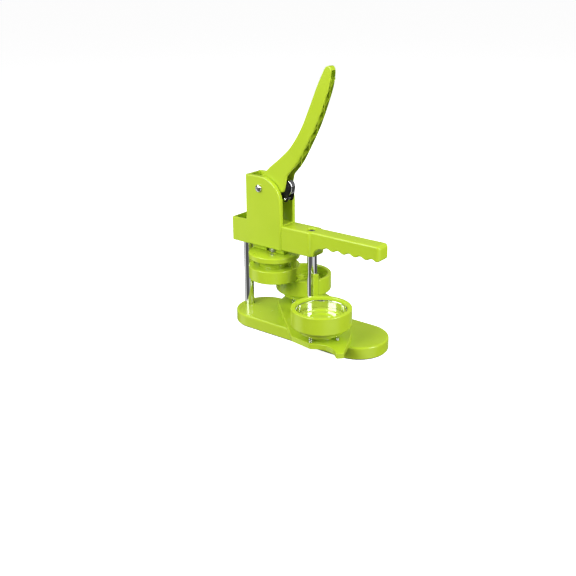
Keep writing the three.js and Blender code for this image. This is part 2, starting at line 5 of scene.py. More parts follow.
import bmesh
import bpy
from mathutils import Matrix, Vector


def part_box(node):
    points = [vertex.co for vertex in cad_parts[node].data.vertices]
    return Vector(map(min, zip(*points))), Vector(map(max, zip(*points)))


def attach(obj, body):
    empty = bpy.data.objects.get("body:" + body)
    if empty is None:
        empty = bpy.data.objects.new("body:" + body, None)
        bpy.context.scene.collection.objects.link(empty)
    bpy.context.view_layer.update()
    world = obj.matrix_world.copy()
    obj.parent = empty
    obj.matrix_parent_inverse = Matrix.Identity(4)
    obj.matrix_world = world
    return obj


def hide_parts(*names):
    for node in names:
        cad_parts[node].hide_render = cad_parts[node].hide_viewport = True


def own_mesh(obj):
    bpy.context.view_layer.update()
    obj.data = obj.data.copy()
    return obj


bl_info = {
    "name": "Rotary Badge Press",
    "version": (1, 0, 0),
    "blender": (4, 5, 0),
    "location": "View3D > Sidebar > Badge Press",
    "description": "Builds a hand lever badge press with a swinging plate of two dies",
    "category": "Add Mesh",
}

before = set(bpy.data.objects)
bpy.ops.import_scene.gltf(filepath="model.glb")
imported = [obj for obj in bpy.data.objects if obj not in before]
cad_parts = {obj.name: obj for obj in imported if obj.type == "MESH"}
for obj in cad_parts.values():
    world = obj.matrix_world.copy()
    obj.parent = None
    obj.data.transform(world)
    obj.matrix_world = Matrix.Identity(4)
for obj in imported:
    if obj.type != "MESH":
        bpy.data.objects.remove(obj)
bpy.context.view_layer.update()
MM = 0.001
COLUMNS = ("front_column", "rear_column")
# Points nearer than this become one: in a new mesh, and after solids are joined.
MERGE, JOIN_MERGE = 1e-7, 1e-6
# A profile point nearer its axis than this lies on it, in millimetres.
ON_AXIS = 1e-6
# Corners within this angle of straight stay as they are, and an arc takes at most this share of an edge.
STRAIGHT, EDGE_SHARE = 0.02, 0.49
# The least that a sharp corner may weaken an inset.
SHARPEST = 0.35


# ---------------------------------------------------------------- places taken from the frame
def middle(node):
    low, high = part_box(node)
    return (low + high) / 2


def foot(node):
    """The middle of a node's underside."""
    low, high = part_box(node)
    return Vector(((low.x + high.x) / 2, (low.y + high.y) / 2, low.z))


def plan_spot(node):
    """A node's middle seen from above, at height 0."""
    spot = foot(node)
    spot.z = 0
    return spot


def height(node):
    """A node's height in millimetres."""
    low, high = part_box(node)
    return (high.z - low.z) / MM


PIVOT = middle("pivot_nut")
ROLLER = middle("roller_outer_ring")
YOKE_PIN = middle("yoke_pin")
COLUMN = middle("front_column")
PRESS = middle("press_core")
SWING_ANGLE = math.atan2(middle("cup_a").y - COLUMN.y, middle("cup_a").x - COLUMN.x)


# ---------------------------------------------------------------- outlines
def rounded(points, radius, steps=5, closed=True):
    """The outline with its corners turned into arcs; radius is one number, or one for each corner."""
    made = []
    count = len(points)
    for i, point in enumerate(points):
        size = radius if isinstance(radius, (int, float)) else radius[i]
        here = Vector(point)
        ahead = Vector(points[(i + 1) % count]) - here
        behind = Vector(points[i - 1]) - here
        is_end = not closed and i in (0, count - 1)
        if is_end or size == 0 or behind.angle(ahead) > math.pi - STRAIGHT:
            made.append(tuple(here))
            continue
        half = behind.angle(ahead) / 2
        reach = min(size / math.tan(half), EDGE_SHARE * behind.length, EDGE_SHARE * ahead.length)
        size = reach * math.tan(half)
        inward = (behind.normalized() + ahead.normalized()).normalized()
        hub = here + inward * size / math.sin(half)
        first = here + behind.normalized() * reach - hub
        last = here + ahead.normalized() * reach - hub
        start = math.atan2(first.y, first.x)
        sweep = math.atan2(last.y, last.x) - start
        sweep = (sweep + math.pi) % (2 * math.pi) - math.pi
        for k in range(steps + 1):
            angle = start + sweep * k / steps
            made.append((hub.x + size * math.cos(angle), hub.y + size * math.sin(angle)))
    return made


def arc(x, y, radius, start, end, steps=12):
    """Points on an arc, its angles in degrees."""
    angles = [math.radians(start + (end - start) * i / steps) for i in range(steps + 1)]
    return [(x + radius * math.cos(a), y + radius * math.sin(a)) for a in angles]


def quarter(steps):
    """Angles from nothing to a right angle."""
    return [math.pi / 2 * k / steps for k in range(steps + 1)]


def smooth_line(points, steps=8):
    """A curve that passes evenly through the points."""
    made = []
    last = len(points) - 1
    for i in range(last):
        p0, p1, p2, p3 = (Vector(points[min(max(k, 0), last)]) for k in (i - 1, i, i + 1, i + 2))
        for k in range(steps):
            t = k / steps
            into = (p2 - p0) * 0.5
            out = (p3 - p1) * 0.5
            bend = (2 * p1 - 2 * p2 + into + out) * t**3
            made.append(tuple(bend + (-3 * p1 + 3 * p2 - 2 * into - out) * t**2 + into * t + p1))
    return [*made, tuple(points[-1])]


def inset(points, distance):
    """The outline moved inwards; it runs anticlockwise."""
    made = []
    count = len(points)
    for i, point in enumerate(points):
        here = Vector(point)
        came = (here - Vector(points[i - 1])).normalized()
        goes = (Vector(points[(i + 1) % count]) - here).normalized()
        first = Vector((-came.y, came.x))
        split = (first + Vector((-goes.y, goes.x))).normalized()
        made.append(tuple(here + split * distance / max(SHARPEST, split.dot(first))))
    return made


def anticlockwise(points):
    area = sum(a[0] * b[1] - b[0] * a[1] for a, b in zip(points, points[1:] + points[:1]))
    return points if area > 0 else points[::-1]


def apart(points, least=0.02):
    """The outline without points that fall on the one before."""
    made = [points[0]]
    for point in points[1:]:
        if (Vector(point) - Vector(made[-1])).length > least:
            made.append(point)
    if (Vector(made[0]) - Vector(made[-1])).length <= least:
        made.pop()
    return made


# ---------------------------------------------------------------- solids
def new_object(name, bm):
    mesh = bpy.data.meshes.new(name)
    bmesh.ops.remove_doubles(bm, verts=bm.verts, dist=MERGE)
    bmesh.ops.recalc_face_normals(bm, faces=bm.faces)
    bm.to_mesh(mesh)
    bm.free()
    piece = bpy.data.objects.new(name, mesh)
    bpy.context.scene.collection.objects.link(piece)
    return piece


def skin(name, rings, wrap, capped):
    """A mesh through rings of points; wrap joins the last ring to the first, capped closes both ends."""
    bm = bmesh.new()
    loops = [[bm.verts.new(point) for point in ring] for ring in rings]
    pairs = list(zip(loops, loops[1:]))
    if wrap:
        pairs.append((loops[-1], loops[0]))
    for low, high in pairs:
        for i in range(len(low)):
            k = (i + 1) % len(low)
            bm.faces.new((low[i], low[k], high[k], high[i]))
    if capped:
        bm.faces.new(loops[0][::-1])
        bm.faces.new(loops[-1])
    return new_object(name, bm)


def turned(name, profile, base, steps=96, axis="Z"):
    """A profile of (radius, height) in millimetres, turned about an axis through base."""
    bm = bmesh.new()
    lines = []
    for step in range(steps):
        angle = 2 * math.pi * step / steps
        line = []
        for radius, rise in profile:
            x, y, z = radius * math.cos(angle), radius * math.sin(angle), rise
            spot = (x, y, z) if axis == "Z" else (x, z, -y)
            line.append(bm.verts.new(base + Vector(spot) * MM))
        lines.append(line)
    count = len(profile)
    for i, line in enumerate(lines):
        beside = lines[(i + 1) % steps]
        for k in range(count):
            after = (k + 1) % count
            if profile[k][0] < ON_AXIS and profile[after][0] < ON_AXIS:
                continue
            bm.faces.new((line[k], beside[k], beside[after], line[after]))
    bmesh.ops.remove_doubles(bm, verts=bm.verts, dist=MERGE)
    return new_object(name, bm)


def prism(name, points, low, high, soft=(0.0, 0.0), axis="Z", steps=4):
    """An outline in millimetres carried from low to high, its two ends rounded by soft."""
    points = apart(anticlockwise(points))
    levels = []
    for end, way, size in ((low, 1, soft[0]), (high, -1, soft[1])):
        turn = [(size * (1 - math.sin(a)), end + way * size * (1 - math.cos(a))) for a in quarter(steps)]
        turn = turn if size else [(0, end)]
        levels += turn if way == 1 else turn[::-1]
    rings = []
    for distance, level in levels:
        ring = inset(points, distance) if distance > 1e-9 else points
        if axis == "Z":
            rings.append([Vector((x, y, level)) * MM for x, y in ring])
        else:
            rings.append([Vector((x, level, y)) * MM for x, y in ring])
    return skin(name, rings, wrap=False, capped=True)


# A box's upright corners are rounder than its other edges by this factor.
CORNER_SHARE = 1.4


def box(name, x, y, z, soft=0.0):
    """A box between two ends along each axis, in millimetres."""
    corners = [(x[0], y[0]), (x[1], y[0]), (x[1], y[1]), (x[0], y[1])]
    outline = rounded(corners, CORNER_SHARE * soft, 4) if soft else corners
    return prism(name, outline, z[0], z[1], (soft, soft))


def rod(name, radius, low, high, base, axis="Z", steps=48):
    return turned(name, [(0, low), (radius, low), (radius, high), (0, high)], base, steps, axis)


def baked(piece):
    """Turns the piece's modifiers into plain mesh."""
    graph = bpy.context.evaluated_depsgraph_get()
    mesh = bpy.data.meshes.new_from_object(piece.evaluated_get(graph))
    piece.modifiers.clear()
    piece.data = mesh
    mesh.name = piece.name
    return piece


def combine(piece, others, operation):
    """Joins other solids to the piece, or cuts them out of it."""
    for other in others:
        step = piece.modifiers.new("Combine", "BOOLEAN")
        step.operation = operation
        step.solver = "EXACT"
        step.object = other
        baked(piece)
        bpy.data.objects.remove(other)
    bm = bmesh.new()
    bm.from_mesh(piece.data)
    bmesh.ops.remove_doubles(bm, verts=bm.verts, dist=JOIN_MERGE)
    bm.to_mesh(piece.data)
    bm.free()
    return piece


def finish_piece(piece, body, slot, *nodes, sharp=38):
    """Shades the piece, gives it its finish, ties it to its body and hides the frame nodes it stands in
    for.
    """
    mesh = piece.data
    mesh.materials.clear()
    mesh.materials.append(material_of(slot))
    mesh.polygons.foreach_set("material_index", [0] * len(mesh.polygons))
    mesh.shade_smooth()
    mesh.set_sharp_from_angle(angle=math.radians(sharp))
    even = piece.modifiers.new("Even shading", "WEIGHTED_NORMAL")
    even.keep_sharp = True
    baked(piece)
    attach(piece, body)
    if nodes:
        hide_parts(*nodes)
    return piece


# ---------------------------------------------------------------- node trees
class Shader:
    """A material's node tree, with short ways to add and link nodes."""

    def __init__(self, name):
        self.material = bpy.data.materials.new(name)
        self.material.use_nodes = True
        self.tree = self.material.node_tree
        self.tree.nodes.clear()
        self.surface = self.add("ShaderNodeBsdfPrincipled")
        output = self.add("ShaderNodeOutputMaterial")
        self.tree.links.new(self.surface.outputs["BSDF"], output.inputs["Surface"])
        self.place = self.add("ShaderNodeTexCoord").outputs["Object"]

    def add(self, kind, settings=None, **inputs):
        node = self.tree.nodes.new(kind)
        for key, value in (settings or {}).items():
            setattr(node, key, value)
        for key, value in inputs.items():
            self.feed(node.inputs[key.replace("_", " ")], value)
        return node

    def feed(self, socket, value):
        if isinstance(value, bpy.types.NodeSocket):
            self.tree.links.new(value, socket)
        else:
            socket.default_value = value

    def noise(self, scale, detail=2.0, stretch=(1, 1, 1)):
        """Noise over the piece, drawn out along an axis where stretch is small."""
        where = self.place
        if stretch != (1, 1, 1):
            where = self.add("ShaderNodeMapping", Vector=self.place, Scale=stretch).outputs["Vector"]
        return self.add("ShaderNodeTexNoise", Vector=where, Scale=scale, Detail=detail).outputs["Fac"]

    def between(self, value, low, high, from_low=0.3, from_high=0.7):
        node = self.add("ShaderNodeMapRange", Value=value)
        for key, number in zip(("From Min", "From Max", "To Min", "To Max"),
                               (from_low, from_high, low, high)):
            node.inputs[key].default_value = number
        return node.outputs["Result"]

    def blend(self, share, first, second):
        node = self.add("ShaderNodeMix", {"data_type": "RGBA"})
        self.feed(node.inputs["Factor"], share)
        self.feed(node.inputs[6], first)
        self.feed(node.inputs[7], second)
        return node.outputs[2]

    def product(self, first, second, operation="MULTIPLY"):
        node = self.add("ShaderNodeMath", {"operation": operation})
        self.feed(node.inputs[0], first)
        self.feed(node.inputs[1], second)
        return node.outputs[0]

    def relief(self, value, depth, strength=1.0, under=None):
        node = self.add("ShaderNodeBump", Height=value, Distance=depth, Strength=strength)
        if under is not None:
            self.tree.links.new(under, node.inputs["Normal"])
        return node.outputs["Normal"]

    def finish(self, **inputs):
        for key, value in inputs.items():
            self.feed(self.surface.inputs[key.replace("_", " ")], value)
        return self.material


def group_tree(name, sockets):
    """An empty geometry tree with the named inputs, and its input and output nodes."""
    tree = bpy.data.node_groups.new(name, "GeometryNodeTree")
    tree.interface.new_socket("Geometry", in_out="INPUT", socket_type="NodeSocketGeometry")
    for label, kind, default in sockets:
        socket = tree.interface.new_socket(label, in_out="INPUT", socket_type="NodeSocket" + kind)
        if default is not None:
            socket.default_value = default
    tree.interface.new_socket("Geometry", in_out="OUTPUT", socket_type="NodeSocketGeometry")
    return tree, tree.nodes.new("NodeGroupInput"), tree.nodes.new("NodeGroupOutput")


def tree_node(tree, kind, settings=None, links=None, values=None):
    node = tree.nodes.new(kind)
    for key, value in (settings or {}).items():
        setattr(node, key, value)
    for key, value in (values or {}).items():
        node.inputs[key].default_value = value
    for key, socket in (links or {}).items():
        tree.links.new(socket, node.inputs[key])
    return node


def close_tree(tree, given, out, geometry):
    """Ends a tree: its instances are made real and its material is set."""
    real = tree_node(tree, "GeometryNodeRealizeInstances", links={"Geometry": geometry})
    done = tree_node(tree, "GeometryNodeSetMaterial",
                     links={"Geometry": real.outputs["Geometry"], "Material": given.outputs["Material"]})
    tree.links.new(done.outputs["Geometry"], out.inputs[0])
    return tree


def grown(name, points, tree, inputs, edges=()):
    """A plain mesh made by a geometry tree from a set of points, in metres."""
    mesh = bpy.data.meshes.new(name)
    mesh.from_pydata([tuple(p) for p in points], edges, [])
    piece = bpy.data.objects.new(name, mesh)
    bpy.context.scene.collection.objects.link(piece)
    step = piece.modifiers.new("Grown", "NODES")
    step.node_group = tree
    for item in tree.interface.items_tree:
        if item.in_out == "INPUT" and item.name in inputs:
            step[item.identifier] = inputs[item.name]
    return baked(piece)


# ---------------------------------------------------------------- finishes
def green_plastic(finishes):
    """Lime moulded plastic: fine grain, faint flow tone and hair scratches."""
    s = Shader("lime_moulded_plastic")
    tone = s.between(s.noise(14, 3), 0.0, 1.0)
    flow = s.between(s.noise(30, 4, (1, 1, 0.25)), 0.0, 0.35)
    share = s.product(tone, flow, "ADD")
    colour = s.blend(s.product(share, 0.6), (*finishes.plastic, 1), (*finishes.plastic_deep, 1))
    speck = s.between(s.noise(2400, 2), 0, 1, 0.66, 0.74)
    colour = s.blend(s.product(speck, 0.05), colour, (*finishes.plastic_light, 1))
    scratch = s.between(s.noise(420, 3, (1, 0.06, 1)), 0, 0.05, 0.62, 0.74)
    rough = s.product(s.between(s.noise(90, 3), 0.17, 0.25), scratch, "ADD")
    grain = s.relief(s.noise(2600, 3), 0.00003, 0.15)
    peel = s.relief(s.noise(330, 2), 0.00008, 0.10, grain)
    marks = s.relief(s.noise(420, 3, (1, 0.06, 1)), 0.00002, 0.08, peel)
    return s.finish(Base_Color=colour, Roughness=rough, Normal=marks)


def chrome(finishes):
    """Chrome plate: bright, with a faint haze and polishing lines round the part."""
    s = Shader("chrome_plate")
    haze = s.between(s.noise(55, 4), 0.035, 0.11)
    lines = s.noise(1600, 2, (0.2, 0.2, 4))
    colour = s.blend(s.between(s.noise(22, 3), 0, 0.5), (*finishes.chrome, 1), (0.66, 0.67, 0.69, 1))
    spots = s.between(s.noise(700, 3), 0, 0.12, 0.68, 0.78)
    rough = s.product(haze, spots, "ADD")
    return s.finish(Base_Color=colour, Metallic=1.0, Roughness=rough, Normal=s.relief(lines, 0.00001, 0.25))


def turned_steel():
    """Zinc plated steel with lathe lines and dull patches."""
    s = Shader("zinc_steel")
    patch = s.between(s.noise(180, 5), 0, 1)
    colour = s.blend(patch, (0.60, 0.61, 0.63, 1), (0.44, 0.45, 0.47, 1))
    lines = s.noise(2200, 3, (0.15, 0.15, 1))
    rough = s.between(s.noise(260, 4), 0.22, 0.42)
    return s.finish(Base_Color=colour, Metallic=1.0, Roughness=rough, Normal=s.relief(lines, 0.00002, 0.35))


def black_oxide():
    """Blackened steel, browner and brighter where it rubs."""
    s = Shader("black_oxide")
    rub = s.between(s.noise(240, 5), 0, 1, 0.48, 0.72)
    colour = s.blend(rub, (0.012, 0.012, 0.013, 1), (0.045, 0.042, 0.038, 1))
    rough = s.between(s.noise(160, 4), 0.30, 0.52)
    return s.finish(Base_Color=colour, Metallic=0.6, Roughness=rough,
                    Normal=s.relief(s.noise(1500, 3), 0.00003, 0.3))


def dark_plastic():
    """Charcoal plastic with a spark-eroded grain."""
    s = Shader("charcoal_plastic")
    cells = s.add("ShaderNodeTexVoronoi", Vector=s.place, Scale=1400.0).outputs["Distance"]
    colour = s.blend(s.between(s.noise(60, 3), 0, 1), (0.028, 0.029, 0.031, 1), (0.045, 0.046, 0.049, 1))
    rough = s.between(s.noise(120, 3), 0.5, 0.68)
    return s.finish(Base_Color=colour, Roughness=rough, Normal=s.relief(cells, 0.00006, 0.4))


def pad_rubber():
    """Black foam rubber with pores and fine ribs."""
    s = Shader("foam_rubber")
    pores = s.add("ShaderNodeTexVoronoi", Vector=s.place, Scale=1100.0).outputs["Distance"]
    ribs = s.add("ShaderNodeTexWave", Vector=s.place, Scale=60.0, Distortion=0.4).outputs["Fac"]
    colour = s.blend(s.between(s.noise(45, 4), 0, 1), (0.014, 0.014, 0.015, 1), (0.034, 0.033, 0.032, 1))
    under = s.relief(ribs, 0.0002, 0.5)
    return s.finish(Base_Color=colour, Roughness=s.between(s.noise(90, 3), 0.75, 0.95),
                    Normal=s.relief(pores, 0.0001, 0.6, under))


FINISHES = {}


def material_of(slot):
    """The finish of one of the record's material slots, made once."""
    makers = {
        "green_plastic": lambda: green_plastic(bpy.context.scene.badge_press_finishes),
        "chrome": lambda: chrome(bpy.context.scene.badge_press_finishes),
        "steel": turned_steel,
        "blackened_steel": black_oxide,
        "dark_plastic": dark_plastic,
        "pad_rubber": pad_rubber,
    }
    if slot not in FINISHES:
        FINISHES[slot] = makers[slot]()
    return FINISHES[slot]


def green(piece, body, *nodes, sharp=38):
    return finish_piece(piece, body, "green_plastic", *nodes, sharp=sharp)


# ---------------------------------------------------------------- base
BASE_LENGTH, BASE_WIDTH, BASE_WALL = 250.0, 84.0, 3.0
BASE_BOTTOM, BASE_CEILING, BASE_TOP = 1.5, 15.0, 18.0
BOSS_FOOT = 4.2


def stadium(length, width):
    radius = width / 2
    reach = length / 2 - radius
    return arc(reach, 0, radius, -90, 90, 48) + arc(-reach, 0, radius, 90, 270, 48)


def build_base(sizes):
    shell = prism("base_shell_moulding", stadium(BASE_LENGTH, BASE_WIDTH), BASE_BOTTOM, BASE_TOP,
                  (0.4, sizes.base_round / MM), steps=8)
    inner = stadium(BASE_LENGTH - 2 * BASE_WALL, BASE_WIDTH - 2 * BASE_WALL)
    combine(shell, [prism("hollow", inner, 0, BASE_CEILING)], "DIFFERENCE")
    posts = []
    for column in COLUMNS:
        spot = plan_spot(column)
        posts.append(rod("boss", 10.5, BOSS_FOOT, BASE_CEILING + 1, spot))
    for i in range(1, 5):
        spot = plan_spot(f"cover_screw_{i}")
        posts.append(rod("boss", 4.5, BOSS_FOOT, BASE_CEILING + 1, spot, steps=24))
    combine(shell, posts, "UNION")
    holes = []
    for column in COLUMNS:
        spot = plan_spot(column)
        socket = [(0, 0), (5.3, 0), (5.3, 7.6), (2.9, 7.6), (2.9, 10), (7.25, 10), (7.25, 17.7),
                  (7.6, 18.1), (7.6, 22),
                  (0, 22)]
        holes.append(turned("socket", socket, spot, 48))
    combine(shell, holes, "DIFFERENCE")
    green(shell, "base", "base_shell")


def build_columns():
    for column in COLUMNS:
        top = height(column)
        bar = [(0, 0), (6.2, 0), (7, 0.8), (7, top - 0.8), (6.2, top), (0, top)]
        piece = turned(column + "_rod", bar, foot(column), 96)
        finish_piece(piece, "base", "chrome", column)


# ---------------------------------------------------------------- frame
FRAME_BOTTOM, ARM_TOP, SLOT_FLOOR, TOWER_TOP = 119.4, 155.0, 156.0, 222.2
TOWER_BACK, TOWER_FRONT, TOWER_HALF, SLOT_HALF, SLOT_BACK = -101.0, -38.3, 17.8, 11.0, -96.5
ARCH_X, ARCH_RADIUS = -73.5, 35.2
BOX_BACK, BOX_WALL, KEEL_BOTTOM = -128.6, 3.5, 110.6
# Faces that would lie in one plane are set this far apart before they are joined.
SEAM = 0.03
ARM_HALF, GRIP_HALF, GRIP_END, GRIP_BOTTOM = 15.8, 12.2, 121.5, 133.0
WAVE_START, WAVE_END, WAVE_LENGTH, WAVE_DEPTH = 28.0, 118.0, 18.0, 3.0
SHOULDER, SHOULDER_TURN, SHOULDER_SLOPE = 7.5, 10.6, 3.0
# The grip's end is rounded by this much, and its section shrinks by this share of it.
GRIP_ROUND, GRIP_ROUND_SHARE = 6.5, 0.75


def tower_outline(bottom):
    arch = arc(ARCH_X, TOWER_TOP - ARCH_RADIUS, ARCH_RADIUS, 0, 90, 32)
    return [(TOWER_BACK, bottom), (TOWER_FRONT, bottom), *arch, (TOWER_BACK, TOWER_TOP)]


def arm_half(x):
    """Half the arm's width: it steps in to the grip through a soft corner and a short slope."""
    step = ARM_HALF - GRIP_HALF
    if x <= SHOULDER:
        return ARM_HALF
    if x <= SHOULDER_TURN:
        return GRIP_HALF + math.sqrt(max(0.0, step**2 - (x - SHOULDER) ** 2))
    end = GRIP_HALF + math.sqrt(step**2 - (SHOULDER_TURN - SHOULDER) ** 2)
    share = min(1.0, (x - SHOULDER_TURN) / SHOULDER_SLOPE)
    return end + (GRIP_HALF - end) * math.sin(share * math.pi / 2)


def arm_underside(x):
    """Height of the underside: flat under the arm, a cove, then waves for the fingers."""
    cove = GRIP_BOTTOM - FRAME_BOTTOM
    if x <= WAVE_START - cove:
        return FRAME_BOTTOM
    if x <= WAVE_START:
        return FRAME_BOTTOM + math.sqrt(max(0.0, cove**2 - (WAVE_START - x) ** 2))
    if x <= WAVE_END:
        phase = 2 * math.pi * (x - WAVE_START) / WAVE_LENGTH
        return GRIP_BOTTOM + WAVE_DEPTH / 2 * (1 - math.cos(phase))
    return GRIP_BOTTOM


def arm_section(x, soft, shrink=0.0):
    """A rounded rectangle across the arm at x."""
    half = arm_half(x) - shrink
    low, high = arm_underside(x) + shrink, ARM_TOP - shrink
    corners = [(-half, low), (half, low), (half, high), (-half, high)]
    return [Vector((x, y, z)) * MM for y, z in rounded(corners, soft, 5)]


def build_arm(soft):
    cove = GRIP_BOTTOM - FRAME_BOTTOM
    stations = [TOWER_FRONT - 2, -20, 0, 4]
    stations += [7.5 + 3.1 * k / 8 for k in range(9)] + [10.6 + 3.0 * k / 6 for k in range(1, 7)]
    stations += [WAVE_START - cove * math.cos(a) for a in quarter(14)]
    stations += [WAVE_START + k for k in range(1, int(WAVE_END - WAVE_START) + 1)]
    along = sorted({round(s, 4) for s in stations if s < GRIP_END - GRIP_ROUND})
    sections = [arm_section(x, soft) for x in along]
    for angle in quarter(8):
        x = GRIP_END - GRIP_ROUND + GRIP_ROUND * math.sin(angle)
        sections.append(arm_section(x, soft, GRIP_ROUND * (1 - math.cos(angle)) * GRIP_ROUND_SHARE))
    return skin("arm_and_grip", sections, wrap=False, capped=True)


def build_frame(sizes):
    soft = sizes.edge_round / MM
    near = prism("frame_moulding", tower_outline(FRAME_BOTTOM), -TOWER_HALF, -SLOT_HALF, (soft, 0.7), "Y")
    far = prism("far_plate", tower_outline(FRAME_BOTTOM), SLOT_HALF, TOWER_HALF, (0.7, soft), "Y")
    core_back, core_front, core_bottom = TOWER_BACK + SEAM, TOWER_FRONT - SEAM, FRAME_BOTTOM + SEAM
    core = [(core_back, core_bottom), (core_front, core_bottom), (core_front, SLOT_FLOOR),
            (core_back, SLOT_FLOOR)]
    block = prism("tower_block", rounded(core, [0, 0, 0.8, 0], 4), 0.8 - TOWER_HALF + soft,
                  TOWER_HALF - soft - 0.8,
                  axis="Y")
    back = box("tower_back", (TOWER_BACK + 2 * SEAM, SLOT_BACK), (-SLOT_HALF - 3, SLOT_HALF + 3),
               (140, TOWER_TOP - SEAM), 0.9)
    side = TOWER_HALF - SEAM
    plan = [(BOX_BACK, -side), (TOWER_BACK + 4, -side), (TOWER_BACK + 4, side), (BOX_BACK, side)]
    rear = prism("rear_box", rounded(plan, [2.6, 0, 0, 2.6], 6), FRAME_BOTTOM + 2 * SEAM, ARM_TOP,
                 (1.2, 1.2))
    hollow = box("hollow", (BOX_BACK + BOX_WALL, TOWER_BACK - BOX_WALL),
                 (BOX_WALL - TOWER_HALF, TOWER_HALF - BOX_WALL),
                 (FRAME_BOTTOM + 4, 170), 1.2)
    combine(rear, [hollow], "DIFFERENCE")
    boss = rod("boss", 12, FRAME_BOTTOM + 2, 143, plan_spot("rear_column_top_screw"))
    keel = box("keel", (-99, -41), (-7, 7), (KEEL_BOTTOM, FRAME_BOTTOM + 2), 0.8)
    combine(near, [far, block, back, rear, boss, keel, build_arm(2.4)], "UNION")
    cuts = []
    for column, recess in (("front_column", 151.0), ("rear_column", 143.0)):
        spot = plan_spot(column)
        steps = [(0, 110), (7.5, 110), (7.5, 120.2), (7.2, 120.6), (7.2, 139), (2.9, 139), (2.9, recess),
                 (7, recess),
                 (7, 154.2), (7.7, 155.1), (7.7, 200), (0, 200)]
        if column == "rear_column":
            steps = steps[:6] + [(2.9, 150), (0, 150)]
        cuts.append(turned("bore", steps, spot, 64))
    well = plan_spot("ram_bush")
    cuts.append(turned("well", [(0, 105), (11.2, 105), (11.2, 132), (12.2, 132), (12.2, 157), (0, 157)],
                       well, 64))
    bolt = Vector((PIVOT.x, 0, PIVOT.z))
    cuts.append(rod("bolt_hole", 3.2, -30, 30, bolt, "Y"))
    combine(near, cuts, "DIFFERENCE")
    green(near, "base", "frame")


# ---------------------------------------------------------------- lever
SPINE = [(-63, 235.9), (-44.3, 251.3), (-27.2, 268.1), (-10.6, 293.3), (3.2, 323.4), (15.8, 354),
         (26.3, 375.5)]
BELLY = [(38.4, 371.5), (35.2, 354), (27.4, 332), (14.6, 301), (-1.2, 271.2), (-16, 246.2), (-31.8, 227.3)]
LEVER_HALF, LEVER_TIP_HALF, LEVER_SKIN, CHEEK = 10.0, 5.5, 3.0, 2.4
TAPER_FROM, TAPER_TO, HUB = 236.0, 382.0, 13.0
RIBS_FROM, RIBS_TO = 250.0, 352.0


def bow(start, first, second, end, steps=10):
    """A curved run between two points, drawn towards two others."""
    made = []
    for k in range(1, steps + 1):
        t = k / steps
        weights = ((1 - t) ** 3, 3 * t * (1 - t) ** 2, 3 * t * t * (1 - t), t**3)
        made.append(tuple(sum(w * p[a] for w, p in zip(weights, (start, first, second, end))) for a in (0,
            1)))
    return made


def lever_outline():
    spine = smooth_line(SPINE, 8)
    belly = smooth_line(BELLY, 8)
    pivot = (PIVOT.x / MM, PIVOT.z / MM)
    rise = math.degrees(math.atan2(SPINE[0][1] - 226, SPINE[0][0] + 72.7))
    hub = arc(*pivot, HUB, -90, rise + 90 - 360, 40)
    tip = bow(spine[-1], (30.5, 384), (39.4, 384), belly[0])
    hook = bow(belly[-1], (-34.5, 220), (-34.6, 212), (-38.2, 204))
    return hub + spine + tip + belly[1:] + hook + [(-40, 202.8), (-41.5, 202.6)]


def lever_hollow():
    """The channel follows the spine at one skin's distance and is open along the belly."""
    spine = smooth_line(SPINE, 8)
    line = []
    for here, after in zip(spine[:-3], spine[1:-2]):
        along = (Vector(after) - Vector(here)).normalized()
        line.append((here[0] + LEVER_SKIN * along.y, here[1] - LEVER_SKIN * along.x))
    px, pz = PIVOT.x / MM, PIVOT.z / MM
    start = [(px - 18, pz - 20), (px - 18, pz + 2), (line[0][0] - 11, line[0][1] - 9.6)]
    return start + line + [(36, 375.5), (60, 375.5), (60, 180)]


def narrow(piece):
    """Narrows the lever evenly from above its hub to the tip."""
    loss = 1 - LEVER_TIP_HALF / LEVER_HALF
    for vertex in piece.data.vertices:
        rise = (vertex.co.z / MM - TAPER_FROM) / (TAPER_TO - TAPER_FROM)
        vertex.co.y *= 1 - loss * min(max(rise, 0.0), 1.0)


